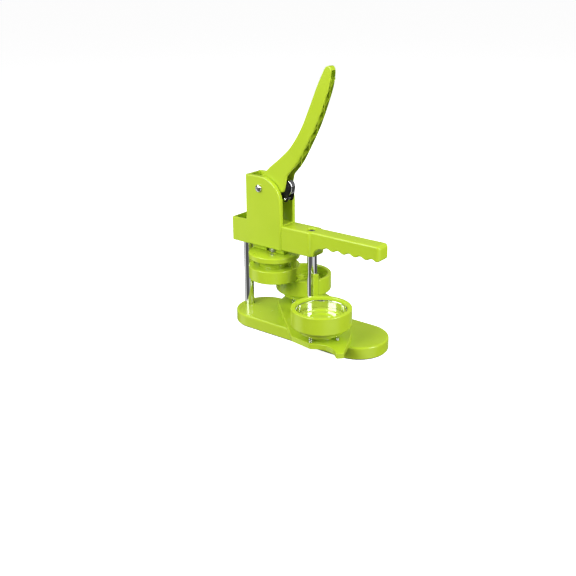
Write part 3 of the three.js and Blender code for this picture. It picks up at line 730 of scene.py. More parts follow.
def crossed_ribs_tree():
    """A chain of X-shaped ribs along a line, each pair set at the line's own slope."""
    tree, given, out = group_tree("Crossed Ribs", [
        ("Cells", "Int", 7), ("Width", "Float", 0.016), ("Cell Length", "Float", 0.022),
        ("Thickness", "Float", 0.0016),
        ("Depth", "Float", 0.016), ("Sink", "Float", 0.001), ("Material", "Material", None)])
    line = tree_node(tree, "GeometryNodeMeshToCurve", links={"Mesh": given.outputs["Geometry"]})
    spots = tree_node(tree, "GeometryNodeResampleCurve", {"mode": "COUNT"},
                      {"Curve": line.outputs["Curve"], "Count": given.outputs["Cells"]})
    tangent = tree_node(tree, "GeometryNodeInputTangent")
    aim = tree_node(tree, "FunctionNodeAlignRotationToVector", {"axis": "X", "pivot_axis": "Y"},
                    {"Vector": tangent.outputs["Tangent"]})
    square = tree_node(tree, "ShaderNodeVectorMath", {"operation": "LENGTH"})
    spread = tree_node(tree, "ShaderNodeCombineXYZ",
                       links={"X": given.outputs["Cell Length"], "Y": given.outputs["Width"]})
    tree.links.new(spread.outputs["Vector"], square.inputs[0])
    plate = tree_node(tree, "ShaderNodeCombineXYZ",
                      links={"X": square.outputs["Value"], "Y": given.outputs["Thickness"],
                             "Z": given.outputs["Depth"]})
    cube = tree_node(tree, "GeometryNodeMeshCube", links={"Size": plate.outputs["Vector"]})
    half = tree_node(tree, "ShaderNodeMath", {"operation": "MULTIPLY"}, {0: given.outputs["Depth"]},
                     {1: 0.5})
    inward = tree_node(tree, "ShaderNodeMath", {"operation": "ADD"},
                       {0: half.outputs[0], 1: given.outputs["Sink"]})
    lower = tree_node(tree, "ShaderNodeCombineXYZ", links={"Z": inward.outputs[0]})
    slant = tree_node(tree, "ShaderNodeMath", {"operation": "ARCTAN2"},
                      {0: given.outputs["Width"], 1: given.outputs["Cell Length"]})
    joined = tree_node(tree, "GeometryNodeJoinGeometry")
    for side in (1, -1):
        angle = tree_node(tree, "ShaderNodeMath", {"operation": "MULTIPLY"}, {0: slant.outputs[0]},
                          {1: side})
        turn = tree_node(tree, "ShaderNodeCombineXYZ", links={"Z": angle.outputs[0]})
        moved = tree_node(tree, "GeometryNodeTransform", links={
            "Geometry": cube.outputs["Mesh"], "Translation": lower.outputs["Vector"],
            "Rotation": turn.outputs["Vector"]})
        placed = tree_node(tree, "GeometryNodeInstanceOnPoints", links={
            "Points": spots.outputs["Curve"], "Instance": moved.outputs["Geometry"],
            "Rotation": aim.outputs["Rotation"]})
        tree.links.new(placed.outputs["Instances"], joined.inputs[0])
    return close_tree(tree, given, out, joined.outputs["Geometry"])


def build_lever(sizes):
    soft = sizes.edge_round / MM
    body = prism("lever_moulding", lever_outline(), -LEVER_HALF, LEVER_HALF, (soft, soft), "Y", 5)
    inner = LEVER_HALF - CHEEK
    combine(body, [prism("channel", lever_hollow(), -inner, inner, axis="Y")], "DIFFERENCE")
    pivot = Vector((PIVOT.x, 0, PIVOT.z))
    barrel = [(0, -9.6), (HUB - 0.6, -9.6), (HUB - 0.6, 9.6), (0, 9.6)]
    combine(body, [turned("hub", barrel, pivot, 64, "Y")], "UNION")
    axle = Vector((ROLLER.x, 0, ROLLER.z))
    combine(body, [rod("bore", 3.3, -20, 20, pivot, "Y"), rod("axle_seat", 3.2, -9, 9, axle, "Y")],
            "DIFFERENCE")
    narrow(body)
    green(body, "lever", "lever")
    belly = smooth_line(BELLY, 24)[::-1]
    ribbed = [point for point in belly if RIBS_FROM < point[1] < RIBS_TO]
    points = [Vector((x, 0, z)) * MM for x, z in ribbed]
    edges = [(i, i + 1) for i in range(len(points) - 1)]
    length = sum((b - a).length for a, b in zip(points, points[1:]))
    ribs = grown("lever_ribs", points, crossed_ribs_tree(), {
        "Cells": sizes.rib_cells, "Width": 2 * (inner + 0.4) * MM,
        "Cell Length": length / (sizes.rib_cells - 1),
        "Thickness": sizes.rib_thickness, "Depth": 0.0155, "Material": material_of("green_plastic")}, edges)
    narrow(ribs)
    green(ribs, "lever", "lever")


def build_roller():
    across = {"axis": "Y"}
    hub = Vector((ROLLER.x, 0, ROLLER.z))
    pin = Vector((YOKE_PIN.x, 0, YOKE_PIN.z))
    rim = rounded([(9.5, -4.4), (13, -4.4), (13, 4.4), (9.5, 4.4)], [0.3, 1.0, 1.0, 0.3], 5)
    finish_piece(turned("roller_rim", rim, hub, 128, **across), "roller", "chrome", "roller_outer_ring")
    lip = [(5.5, -3.9), (6.4, -4.1), (8.4, -4.1), (9.2, -3.8), (9.2, 3.8), (8.4, 4.1), (6.4, 4.1),
           (5.5, 3.9)]
    finish_piece(turned("roller_shield", lip, hub, 96, **across), "roller", "blackened_steel",
                 "roller_seal")
    ring = rounded([(3.2, -4.4), (5.2, -4.4), (5.2, 4.4), (3.2, 4.4)], 0.3, 3)
    finish_piece(turned("roller_race", ring, hub, 72, **across), "lever", "steel", "roller_inner_ring")
    shaft = rounded([(0, -8.6), (2.9, -8.6), (2.9, 8.6), (0, 8.6)], [0, 0.5, 0.5, 0], 4)
    finish_piece(turned("roller_shaft", shaft, hub, 48, **across), "lever", "steel", "roller_axle")
    dome = [(0, -9.4), (0.9, -9.25), (1.6, -8.9), (2.05, -8.3), (2.2, -7.8)]
    cap = dome + [(r, -y) for r, y in dome[::-1]]
    finish_piece(turned("lower_pin", cap, pin, 48, **across), "lever", "chrome", "yoke_pin", sharp=60)
    lean = math.degrees(math.atan2(pin.z - hub.z, pin.x - hub.x))
    x, z = hub.x / MM, hub.z / MM
    plate = arc(x, z, 10.8, lean + 72, lean - 72 + 360, 40) + arc(pin.x / MM, pin.z / MM, 4.4, lean - 72,
        lean + 72, 16)
    yoke = prism("yoke_bracket", plate, -7.3, -5.3, (0.5, 0.3), "Y")
    far = prism("far_leaf", plate, 5.3, 7.3, (0.3, 0.5), "Y")
    web = prism("web", rounded([(-59, 203), (-55.2, 203), (-55.2, 215), (-59, 215)], 0.8, 3), -7, 7,
                axis="Y")
    ears = [prism("ear", [(-58.6, 203.4), (-45, 203.4), (-45, 214.6), (-58.6, 214.6)], low, low + 1.6,
                  axis="Y")
            for low in (-7.1, 5.5)]
    combine(yoke, [far, web, *ears], "UNION")
    combine(yoke, [rod("hole", 3.1, -20, 20, hub, "Y"), rod("hole", 2.35, -20, 20, pin, "Y")], "DIFFERENCE")
    finish_piece(yoke, "lever", "blackened_steel", "roller_yoke")


# ---------------------------------------------------------------- ram and upper die
RING_BOTTOM, RING_TOP, DISC_BOTTOM, DISC_TOP, DISC_RADIUS, CORE = 71.1, 90.0, 102.0, 110.0, 37.2, 22.0


def softened(profile, radius, steps=3):
    """A turned profile with every corner off the axis made round."""
    return rounded(profile, [0 if r < ON_AXIS else radius for r, _ in profile], steps)


def press_axis():
    return Vector((PRESS.x, PRESS.y, 0))


def around_press(circle, start, count=3):
    """Points evenly round the press axis, in millimetres from it."""
    angles = [math.radians(start + 360 / count * i) for i in range(count)]
    return [(circle * math.cos(a), circle * math.sin(a)) for a in angles]


def build_ram():
    axis = press_axis()
    shaft = [(0, 103), (5, 103), (5, 110.3), (7.4, 110.3), (8, 110.9), (8, 155.5), (7.2, 156.3),
             (3.2, 156.3), (3.2, 162),
             (0, 162)]
    finish_piece(turned("ram_rod", shaft, axis, 96), "ram", "steel", "ram_shaft")
    head = [(3.5, 156.6), (10.6, 156.6), (10.6, 159.6), (4.9, 159.6), (4.9, 165.1), (0, 165.1), (0, 162.3),
            (3.5, 162.3)]
    finish_piece(turned("ram_cap", softened(head, 0.5), axis, 96), "ram", "steel", "ram_head")
    bush = [(8.3, 120.3), (11, 120.3), (11, 132.3), (11.9, 132.3), (11.9, 134), (8.3, 134)]
    finish_piece(turned("ram_guide", softened(bush, 0.25), axis, 96), "base", "steel", "ram_bush")


def build_upper_die():
    axis = press_axis()
    disc = [(5.3, DISC_BOTTOM), (DISC_RADIUS, DISC_BOTTOM), (DISC_RADIUS, DISC_TOP), (5.3, DISC_TOP)]
    plate = turned("press_disc_moulding", rounded(disc, [0.3, 1.0, 1.4, 0.3], 6), axis, 128)
    cuts = [rod("recess", 1.8, DISC_TOP - 3, 200, axis + Vector((x, y, 0)) * MM) for x,
            y in around_press(30.5, -119)]
    screws = [axis + Vector((x, y, 0)) * MM for x, y in around_press(14, -60)]
    cuts += [turned("hole", [(0, 90), (1.8, 90), (1.8, 106.6), (3.7, 106.6), (3.7, 200), (0, 200)], spot,
                    32)
             for spot in screws]
    combine(plate, cuts, "DIFFERENCE")
    green(plate, "ram", "press_disc")
    top = DISC_BOTTOM - 0.3
    core = [(0, 78), (26, 78), (27, 76), (30.2, 76), (30.2, 85.7), (CORE, 85.7), (CORE, top), (5.3, top),
            (5.3, top - 1),
            (0, top - 1)]
    spindle = turned("press_core_moulding", softened(core, 0.4), axis, 128)
    combine(spindle, [rod("hole", 1.8, 92, 200, spot, steps=24) for spot in screws], "DIFFERENCE")
    green(spindle, "ram", "press_core")
    band = rounded([(22.3, 95.5), (25, 95.5), (25, 99.5), (22.3, 99.5)], [0.3, 1.1, 1.1, 0.3], 5)
    green(turned("core_band_moulding", band, axis, 128), "ram", "core_band")


def build_selector():
    axis = press_axis()
    profile = [(30.6, RING_BOTTOM), (DISC_RADIUS, RING_BOTTOM), (DISC_RADIUS, RING_TOP),
               (CORE + 0.4, RING_TOP),
               (CORE + 0.4, 86), (30.6, 86)]
    ring = turned("selector_ring_moulding", rounded(profile, [0.4, 1.1, 1.3, 0.4, 0.3, 0.3], 6), axis, 128)
    x = axis.x / MM
    parts = []
    for middle_angle in (6, 204):
        outer = arc(x, 0, 35, middle_angle - 7, middle_angle + 7, 10)
        inner = arc(x, 0, 30.5, middle_angle + 7, middle_angle - 7, 10)
        parts.append(prism("pillar", outer + inner, RING_TOP - 1, DISC_BOTTOM - 0.5, (0, 0.4)))
    arm = [(-31, 4), (-16, 5.2), (-14.4, 6.4), (-14.6, 8.4), (-16.4, 9.4), (-32, 10.5)]
    parts.append(prism("arm", rounded(arm, [0, 1.2, 1.2, 1.2, 1.2, 0], 4), 75, 80.5, (1, 1)))
    combine(ring, parts, "UNION")
    green(ring, "selector", "selector_ring")


# ---------------------------------------------------------------- swinging plate and dies
PLATE_BOTTOM, PLATE_TOP = 18.4, 26.0
DIE_OFFSET, DIE_RADIUS, DIE_RIM, DIE_FLOOR = 68.0, 41.3, 67.6, 46.0
SPRING_TOP = 39.7


def column_axis():
    return Vector((COLUMN.x, COLUMN.y, 0))


def swung(piece):
    """Turns a piece made in the plate's own frame to where the plate stands at rest."""
    cosine, sine = math.cos(SWING_ANGLE), math.sin(SWING_ANGLE)
    origin = column_axis()
    for vertex in piece.data.vertices:
        x, y, z = vertex.co
        vertex.co = origin + Vector((x * cosine - y * sine, x * sine + y * cosine, z))
    return piece


def die_axis(letter):
    place = middle("cup_" + letter)
    return Vector((place.x, place.y, 0))


def build_swing(sizes):
    half = [(63, -40), (91.6, -20), (94.2, -9.6), (98.8, -1.2), (105.9, 4.1), (111, 6.6), (115.6, 7.7),
            (126, 7.9), (126.5, 18.2), (115.4, 22), (92.7, 32.6), (68.7, 41.7)]
    bends = [4, 7, 12, 12, 14, 10, 6, 2.4, 2.6, 9, 14, 4]
    outline = half + [(-x, y) for x, y in half[::-1]]
    plate = prism("swing_plate_moulding", rounded(outline, bends + bends[::-1], 5), PLATE_BOTTOM, PLATE_TOP,
                  (0.6, sizes.plate_round / MM), steps=5)
    here = Vector((0, 0, 0))
    hub = [(11, 19.4), (15, 19.4), (15, 26.0), (15.9, 26.0), (15, 26.9), (15, 29), (14, 30), (11, 30)]
    combine(plate, [turned("hub", hub, here, 96)], "UNION")
    cuts = [rod("bore", 12, 0, 60, here, steps=96)]
    for side in (DIE_OFFSET, -DIE_OFFSET):
        nut = [(0, 0), (4.8, 0), (4.8, 21.8), (2.3, 21.8), (2.3, 60), (0, 60)]
        cuts.append(turned("nut_recess", nut, Vector((side * MM, 0, 0)), 32))
    combine(plate, cuts, "DIFFERENCE")
    green(swung(plate), "swing", "swing_plate")
    bush = [(7.3, 18.6), (11.7, 18.6), (11.7, 30.3), (10.2, 31.5), (10.2, 38), (7.3, 38)]
    sleeve = turned("swing_sleeve", softened(bush, 0.4), column_axis(), 96)
    finish_piece(sleeve, "swing", "dark_plastic", "swing_bush")
    blade = box("trigger_post_moulding", (16, 21), (-2, 6), (27, 95.6), 1.0)
    heel = box("foot", (16.05, 23), (-3, 7), (26.3, 31), 0.8)
    combine(blade, [heel], "UNION")
    green(swung(blade), "swing", "trigger_post")


TABLES = {
    "a": [(2.3, 46.3), (33.2, 46.3), (33.2, 53), (26, 53), (25.4, 51.8), (16.8, 51.8), (16.4, 50), (5, 50),
          (5, 47.4),
          (2.3, 47.4)],
    "b": [(2.3, 46.3), (33.2, 46.3), (33.2, 51), (28, 51), (27.6, 56), (24.4, 56), (24, 51), (16.6, 51),
          (16.4, 53),
          (13.4, 53), (13.2, 50), (5, 50), (5, 47.4), (2.3, 47.4)],
}
CUP_LEDGES = {"a": 52.7, "b": 58.0}


def build_dies():
    for letter in "ab":
        axis = die_axis(letter)
        stem = softened([(2.3, 26.3), (18.5, 26.3), (18.5, 46), (2.3, 46)], 0.3)
        green(turned(f"die_{letter}_pillar", stem, axis, 96), "swing", f"die_{letter}_stem")
        table = turned(f"die_{letter}_anvil", softened(TABLES[letter], 0.35), axis, 128)
        green(table, "swing", f"die_{letter}_table")


def build_cups():
    for letter in "ab":
        axis = die_axis(letter)
        ledge = CUP_LEDGES[letter]
        corners = [(18.8, 34), (30.5, 34), (30.5, 40.5), (39.5, 42.5), (DIE_RADIUS, 44.5),
                   (DIE_RADIUS, DIE_RIM),
                   (36.2, DIE_RIM), (35.2, DIE_RIM - 1), (35.2, ledge), (34.6, ledge), (34.6, DIE_FLOOR),
                   (18.8, DIE_FLOOR)]
        bends = [0.4, 1.0, 0.6, 0.8, 1.0, 1.3, 0.3, 0.3, 0.2, 0.2, 0.6, 0.4]
        cup = turned(f"cup_{letter}_moulding", rounded(corners, bends, 5), axis, 160)
        pockets = []
        for i in range(1, 5):
            spot = plan_spot(f"die_{letter}_spring_{i}")
            pockets.append(rod("pocket", 3.3, 20, SPRING_TOP + 0.3, spot, steps=32))
        combine(cup, pockets, "DIFFERENCE")
        green(cup, "cup_" + letter, "cup_" + letter)
    liner = [(33.5, 53), (34.9, 53), (34.9, 63), (34.2, 63.6), (33.5, 63)]
    ring = turned("cup_a_liner", softened(liner, 0.2), die_axis("a"), 160)
    finish_piece(ring, "cup_a", "chrome", "cup_a_steel_ring")


# ---------------------------------------------------------------- springs
def coil_spring_tree():
    """Compression springs at every point: closed end turns and an even rise between them."""
    tree, given, out = group_tree("Coil Springs", [
        ("Turns", "Float", 7.0), ("Radius", "Float", 0.0026), ("Wire Radius", "Float", 0.0004),
        ("Height", "Float", 0.013), ("Turn Points", "Int", 28), ("Wire Points", "Int", 10),
        ("Material", "Material", None)])
    coil = tree_node(tree, "GeometryNodeCurveSpiral", links={
        "Resolution": given.outputs["Turn Points"], "Rotations": given.outputs["Turns"],
        "Start Radius": given.outputs["Radius"], "End Radius": given.outputs["Radius"],
        "Height": given.outputs["Height"]})

    def maths(operation, first, second):
        node = tree_node(tree, "ShaderNodeMath", {"operation": operation})
        for socket, value in zip(node.inputs, (first, second)):
            if isinstance(value, bpy.types.NodeSocket):
                tree.links.new(value, socket)
            else:
                socket.default_value = value
        return node.outputs[0]

    def ramp(start, end, rise):
        node = tree_node(tree, "ShaderNodeMapRange")
        tree.links.new(along, node.inputs["Value"])
        for key, value in (("From Min", start), ("From Max", end), ("To Max", rise)):
            if isinstance(value, bpy.types.NodeSocket):
                tree.links.new(value, node.inputs[key])
            else:
                node.inputs[key].default_value = value
        return node.outputs["Result"]

    along = tree_node(tree, "GeometryNodeSplineParameter").outputs["Factor"]
    share = maths("DIVIDE", 1.0, given.outputs["Turns"])
    rest = maths("SUBTRACT", 1.0, share)
    wire = maths("MULTIPLY", given.outputs["Wire Radius"], 2.0)
    span = maths("SUBTRACT", given.outputs["Height"], maths("MULTIPLY", wire, 2.0))
    rise = maths("ADD", maths("ADD", ramp(0.0, share, wire), ramp(share, rest, span)),
                 ramp(rest, 1.0, wire))
    place = tree_node(tree, "ShaderNodeSeparateXYZ",
                      links={0: tree_node(tree, "GeometryNodeInputPosition").outputs["Position"]})
    moved = tree_node(tree, "ShaderNodeCombineXYZ",
                      links={"X": place.outputs["X"], "Y": place.outputs["Y"], "Z": rise})
    shaped = tree_node(tree, "GeometryNodeSetPosition",
                       links={"Geometry": coil.outputs["Curve"], "Position": moved.outputs["Vector"]})
    section = tree_node(tree, "GeometryNodeCurvePrimitiveCircle", links={
        "Resolution": given.outputs["Wire Points"], "Radius": given.outputs["Wire Radius"]})
    wound = tree_node(tree, "GeometryNodeCurveToMesh", values={"Fill Caps": True}, links={
        "Curve": shaped.outputs["Geometry"], "Profile Curve": section.outputs["Curve"]})
    set_out = tree_node(tree, "GeometryNodeInstanceOnPoints",
                        links={"Points": given.outputs["Geometry"], "Instance": wound.outputs["Mesh"]})
    return close_tree(tree, given, out, set_out.outputs["Instances"])


def wind(name, nodes, turns, wire, tree, slot):
    """One coil in each node's place, all in one mesh."""
    low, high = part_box(nodes[0])
    points = [foot(node) + Vector((0, 0, wire)) for node in nodes]
    return grown(name, points, tree, {
        "Turns": turns, "Wire Radius": wire, "Radius": (high.x - low.x) / 2 - wire,
        "Height": high.z - low.z - 2 * wire, "Material": material_of(slot)})


def build_springs(sizes):
    tree = coil_spring_tree()
    for letter in "ab":
        nodes = [f"die_{letter}_spring_{i}" for i in range(1, 5)]
        coils = wind(f"die_{letter}_springs", nodes, sizes.die_spring_turns, 0.0004, tree, "chrome")
        finish_piece(coils, "swing", "chrome", *nodes)
        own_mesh(coils)
    coil = wind("return_spring", ["ram_return_spring"], sizes.return_spring_turns, 0.00085, tree, "steel")
    finish_piece(coil, "base", "steel", "ram_return_spring")
    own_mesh(coil)


# ---------------------------------------------------------------- screws, bolt and nut
def cross_headed_screw(head, rise, shank, length):
    """One screw with a domed head and a cross recess; the top of its head is at the origin."""
    dome = [(head * math.sin(a), -0.55 * rise * (1 - math.cos(a))) for a in quarter(6)]
    profile = [*dome, (head, -rise), (shank, -rise), (shank, 0.6 - length), (shank - 0.5, -length),
               (0, -length)]
    screw = turned("screw_blank", profile, Vector((0, 0, 0)), 32)
    reach, half, deep = head * 0.55, head * 0.13, rise * 0.6
    cross = [box("slot", (-reach, reach), (-half, half), (-deep, 2)),
             box("slot", (-half, half), (-reach, reach), (-deep, 2))]
    combine(cross[0], [cross.pop()], "UNION")
    return combine(screw, cross, "DIFFERENCE")


def screw_set_tree():
    """Puts one screw at every point, its cross turned by chance."""
    tree, given, out = group_tree("Screw Set", [
        ("Screw", "Object", None), ("Tilt", "Vector", None), ("Seed", "Int", 3),
        ("Material", "Material", None)])
    blank = tree_node(tree, "GeometryNodeObjectInfo", links={"Object": given.outputs["Screw"]})
    chance = tree_node(tree, "FunctionNodeRandomValue", {"data_type": "FLOAT"},
                       {"Seed": given.outputs["Seed"]})
    chance.inputs[3].default_value = math.pi
    turn = tree_node(tree, "ShaderNodeCombineXYZ", links={"Z": chance.outputs[1]})
    placed = tree_node(tree, "GeometryNodeInstanceOnPoints", links={
        "Points": given.outputs["Geometry"], "Instance": blank.outputs["Geometry"],
        "Rotation": given.outputs["Tilt"]})
    turned_set = tree_node(tree, "GeometryNodeRotateInstances",
                           links={"Instances": placed.outputs["Instances"],
                                  "Rotation": turn.outputs["Vector"]})
    return close_tree(tree, given, out, turned_set.outputs["Instances"])


def screw_set(name, nodes, blank, body, slot, tree, from_below=False):
    points = []
    for node in nodes:
        low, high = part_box(node)
        spot = foot(node)
        spot.z = low.z if from_below else high.z
        points.append(spot)
    tilt = (math.pi, 0.0, 0.0) if from_below else (0.0, 0.0, 0.0)
    made = grown(name, points, tree, {"Screw": blank, "Tilt": tilt, "Material": material_of(slot)})
    bpy.data.objects.remove(blank)
    finish_piece(made, body, slot, *nodes)


def build_fasteners():
    tree = screw_set_tree()
    tops = ["front_column_top_screw", "rear_column_top_screw"]
    screw_set("column_top_screws", tops, cross_headed_screw(4.9, 3.2, 2.6, 22), "base", "chrome", tree)
    feet = ["front_column_foot_screw", "rear_column_foot_screw"]
    blank = cross_headed_screw(5, 2.9, 2.6, height(feet[0]))
    screw_set("column_foot_screws", feet, blank, "base", "steel", tree, True)
    covers = [f"cover_screw_{i}" for i in range(1, 5)]
    screw_set("cover_screws", covers, cross_headed_screw(3.1, 1.2, 1.4, height(covers[0])), "base", "steel",
              tree, True)
    discs = [f"disc_screw_{i}" for i in range(1, 4)]
    screw_set("press_disc_screws", discs, cross_headed_screw(3.3, 2.2, 1.5, height(discs[0])), "ram",
              "steel", tree)
    for letter in "ab":
        node = f"die_{letter}_screw"
        blank = cross_headed_screw(4.4, 2, 2, height(node))
        screw_set(f"die_{letter}_table_screw", [node], blank, "swing", "steel", tree)
    across = Vector((PIVOT.x, 0, PIVOT.z))
    face = -TOWER_HALF - 0.3
    dome = [(5.5 * math.sin(a), face - 0.8 - 2.6 * math.cos(a)) for a in quarter(10)]
    profile = [*dome, (5.5, face), (3, face), (3, 22.2), (2.6, 22.6), (0, 22.6)]
    bolt = turned("pivot_bolt_chromed", profile, across, 64, "Y")
    x, z = across.x / MM, across.z / MM
    deep = face - 1.8
    cross = box("slot", (x - 2.6, x + 2.6), (-40, deep), (z - 0.6, z + 0.6))
    combine(cross, [box("slot", (x - 0.6, x + 0.6), (-40, deep), (z - 2.6, z + 2.6))], "UNION")
    combine(bolt, [cross], "DIFFERENCE")
    finish_piece(bolt, "base", "chrome", "pivot_bolt")
    corners = [(x + 5.6 * math.cos(math.pi / 3 * k), z + 5.6 * math.sin(math.pi / 3 * k)) for k in range(6)]
    nut = prism("pivot_nut_chromed", corners, TOWER_HALF + 0.3, TOWER_HALF + 4.3, (0.3, 0.5), "Y")
    combine(nut, [rod("thread", 3.3, 0, 60, across, "Y")], "DIFFERENCE")
    finish_piece(nut, "base", "chrome", "pivot_nut")


def dress_underside():
    """The cover and the pad keep their frame meshes and get their own finishes."""
    for node, slot in (("base_cover", "dark_plastic"), ("anti_slip_pad", "pad_rubber")):
        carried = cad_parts[node]
        carried.data.materials.clear()
        carried.data.materials.append(material_of(slot))


# ---------------------------------------------------------------- stage
CAMERA_AZIMUTH, CAMERA_ELEVATION, CAMERA_DISTANCE = 36.65, 16.21, 1.1372
CAMERA_TARGET = Vector((0.004, 0.0, 0.180))
CAMERA_LENS, CAMERA_SHIFT = 51.69, (-0.0417, -0.1319)
# Where the panels end, as a share of the way from straight down to straight up.
HORIZON = 0.47
# The floor's second tone, as a share of the first.
FLOOR_DRIFT = 0.985
# The panels round the room: where each shade stands, as a share of a full turn, and how bright it is.
PANELS = ((0.0, 0.4), (0.05, 4.4), (0.12, 4.4), (0.15, 0.3), (0.24, 0.7), (0.30, 0.3), (0.36, 1.4),
          (0.42, 4.0),
          (0.50, 4.0), (0.56, 0.3), (0.70, 0.3), (0.80, 2.2), (0.95, 0.4))


def direction(azimuth, elevation):
    a, e = math.radians(azimuth), math.radians(elevation)
    return Vector((math.sin(a) * math.cos(e), -math.cos(a) * math.cos(e), math.sin(e)))


def aim(item, away):
    item.rotation_euler = away.to_track_quat("Z", "Y").to_euler()


def set_camera():
    data = bpy.data.cameras.new("press_camera")
    data.lens = CAMERA_LENS
    data.shift_x, data.shift_y = CAMERA_SHIFT
    data.clip_start, data.clip_end = 0.05, 60
    camera = bpy.data.objects.new("press_camera", data)
    bpy.context.scene.collection.objects.link(camera)
    away = direction(CAMERA_AZIMUTH, CAMERA_ELEVATION)
    camera.location = CAMERA_TARGET + away * CAMERA_DISTANCE
    aim(camera, away)
    bpy.context.scene.camera = camera


def soft_light(name, azimuth, elevation, distance, size, power):
    data = bpy.data.lights.new(name, "AREA")
    data.shape = "RECTANGLE"
    data.size, data.size_y = size
    data.energy = power
    lamp = bpy.data.objects.new(name, data)
    bpy.context.scene.collection.objects.link(lamp)
    away = direction(azimuth, elevation)
    lamp.location = CAMERA_TARGET + away * distance
    aim(lamp, away)
    return lamp


def pale_floor(finishes):
    bm = bmesh.new()
    bmesh.ops.create_grid(bm, x_segments=4, y_segments=4, size=30)
    floor = new_object("pale_floor", bm)
    s = Shader("pale_floor_paint")
    tone = s.between(s.noise(3, 3), 0, 1)
    colour = s.blend(tone, (*finishes.floor, 1), tuple(FLOOR_DRIFT * c for c in finishes.floor) + (1,))
    rough = s.between(s.noise(20, 2), 0.85, 0.95)
    floor.data.materials.append(s.finish(Base_Color=colour, Roughness=rough, Specular_IOR_Level=0.1,
                                         Emission_Color=(1, 1, 1, 1),
                                         Emission_Strength=finishes.floor_glow))
    floor.visible_diffuse = False
    floor.visible_glossy = False


def pale_room(finishes):
    """Even light, brightest at the horizon, with pale and dark panels all round below it."""
    world = bpy.data.worlds.new("pale_room")
    bpy.context.scene.world = world
    world.use_nodes = True
    tree = world.node_tree
    sky = tree.nodes["Background"]
    sky.inputs["Strength"].default_value = finishes.room_light
    heading = tree.nodes.new("ShaderNodeTexCoord").outputs["Generated"]
    split = tree.nodes.new("ShaderNodeSeparateXYZ")
    tree.links.new(heading, split.inputs[0])
    rise = tree.nodes.new("ShaderNodeMapRange")
    rise.inputs["From Min"].default_value = -1.0
    tree.links.new(split.outputs["Z"], rise.inputs["Value"])
    round_about = tree.nodes.new("ShaderNodeTexGradient")
    round_about.gradient_type = "RADIAL"
    tree.links.new(heading, round_about.inputs["Vector"])
    level = shade_ramp(tree, rise.outputs["Result"],
                       ((0.0, 0.4), (0.3, 0.7), (0.52, 1.0), (0.72, 0.8), (1.0, 0.5)))
    panels = shade_ramp(tree, round_about.outputs["Fac"], PANELS)
    below = tree.nodes.new("ShaderNodeMath")
    below.operation = "LESS_THAN"
    below.inputs[1].default_value = HORIZON
    tree.links.new(rise.outputs["Result"], below.inputs[0])
    mix = tree.nodes.new("ShaderNodeMix")
    mix.data_type = "RGBA"
    tree.links.new(below.outputs[0], mix.inputs["Factor"])
    tree.links.new(level, mix.inputs[6])
    tree.links.new(panels, mix.inputs[7])
    tree.links.new(mix.outputs[2], sky.inputs["Color"])


def shade_ramp(tree, value, stops):
    """A run of greys over a value from 0 to 1."""
    ramp = tree.nodes.new("ShaderNodeValToRGB")
    while len(ramp.color_ramp.elements) < len(stops):
        ramp.color_ramp.elements.new(0.5)
    for element, (place, shade) in zip(ramp.color_ramp.elements, stops):
        element.position = place
        element.color = (shade, shade, shade, 1)
    tree.links.new(value, ramp.inputs["Fac"])
    return ramp.outputs["Color"]


def build_stage(finishes):
    bpy.context.scene.view_settings.view_transform = "Standard"
    pale_room(finishes)
    pale_floor(finishes)
    soft_light("key_light", -15, 28, 1.6, (1.1, 0.8), finishes.key_power)
    soft_light("side_light", 92, 28, 1.6, (0.5, 1.2), finishes.side_power)
    soft_light("edge_light", -62, 50, 1.5, (1.0, 0.6), finishes.edge_power)
    fill = soft_light("back_light", 190, 20, 1.7, (1.2, 0.8), finishes.back_power)
    fill.visible_glossy = False
    set_camera()


# ---------------------------------------------------------------- the add-on
class BadgePressSizes(bpy.types.PropertyGroup):
    """Sizes that change the look of the press and leave its fit alone"""

    edge_round: bpy.props.FloatProperty(
        name="Edge Round", description="Radius on the outer edges of the frame and the lever",
        default=0.002, min=0.0005, max=0.003, subtype="DISTANCE", unit="LENGTH")
    base_round: bpy.props.FloatProperty(
        name="Base Round", description="Radius on the upper edge of the base",
        default=0.0025, min=0.0005, max=0.003, subtype="DISTANCE", unit="LENGTH")
    plate_round: bpy.props.FloatProperty(
        name="Plate Round", description="Radius on the upper edge of the swinging plate",
        default=0.001, min=0.0003, max=0.002, subtype="DISTANCE", unit="LENGTH")
    rib_cells: bpy.props.IntProperty(
        name="Rib Crosses", description="Number of crossed ribs inside the lever", default=5, min=3, max=14)
    rib_thickness: bpy.props.FloatProperty(
        name="Rib Thickness", description="Thickness of each rib inside the lever",
        default=0.0016, min=0.0008, max=0.003, subtype="DISTANCE", unit="LENGTH")
    die_spring_turns: bpy.props.FloatProperty(
        name="Die Spring Turns", description="Turns of wire in each small spring under a cup", default=6.5,
        min=3, max=9)
    return_spring_turns: bpy.props.FloatProperty(
        name="Return Spring Turns", description="Turns of wire in the spring round the ram", default=6.0,
        min=3, max=9)


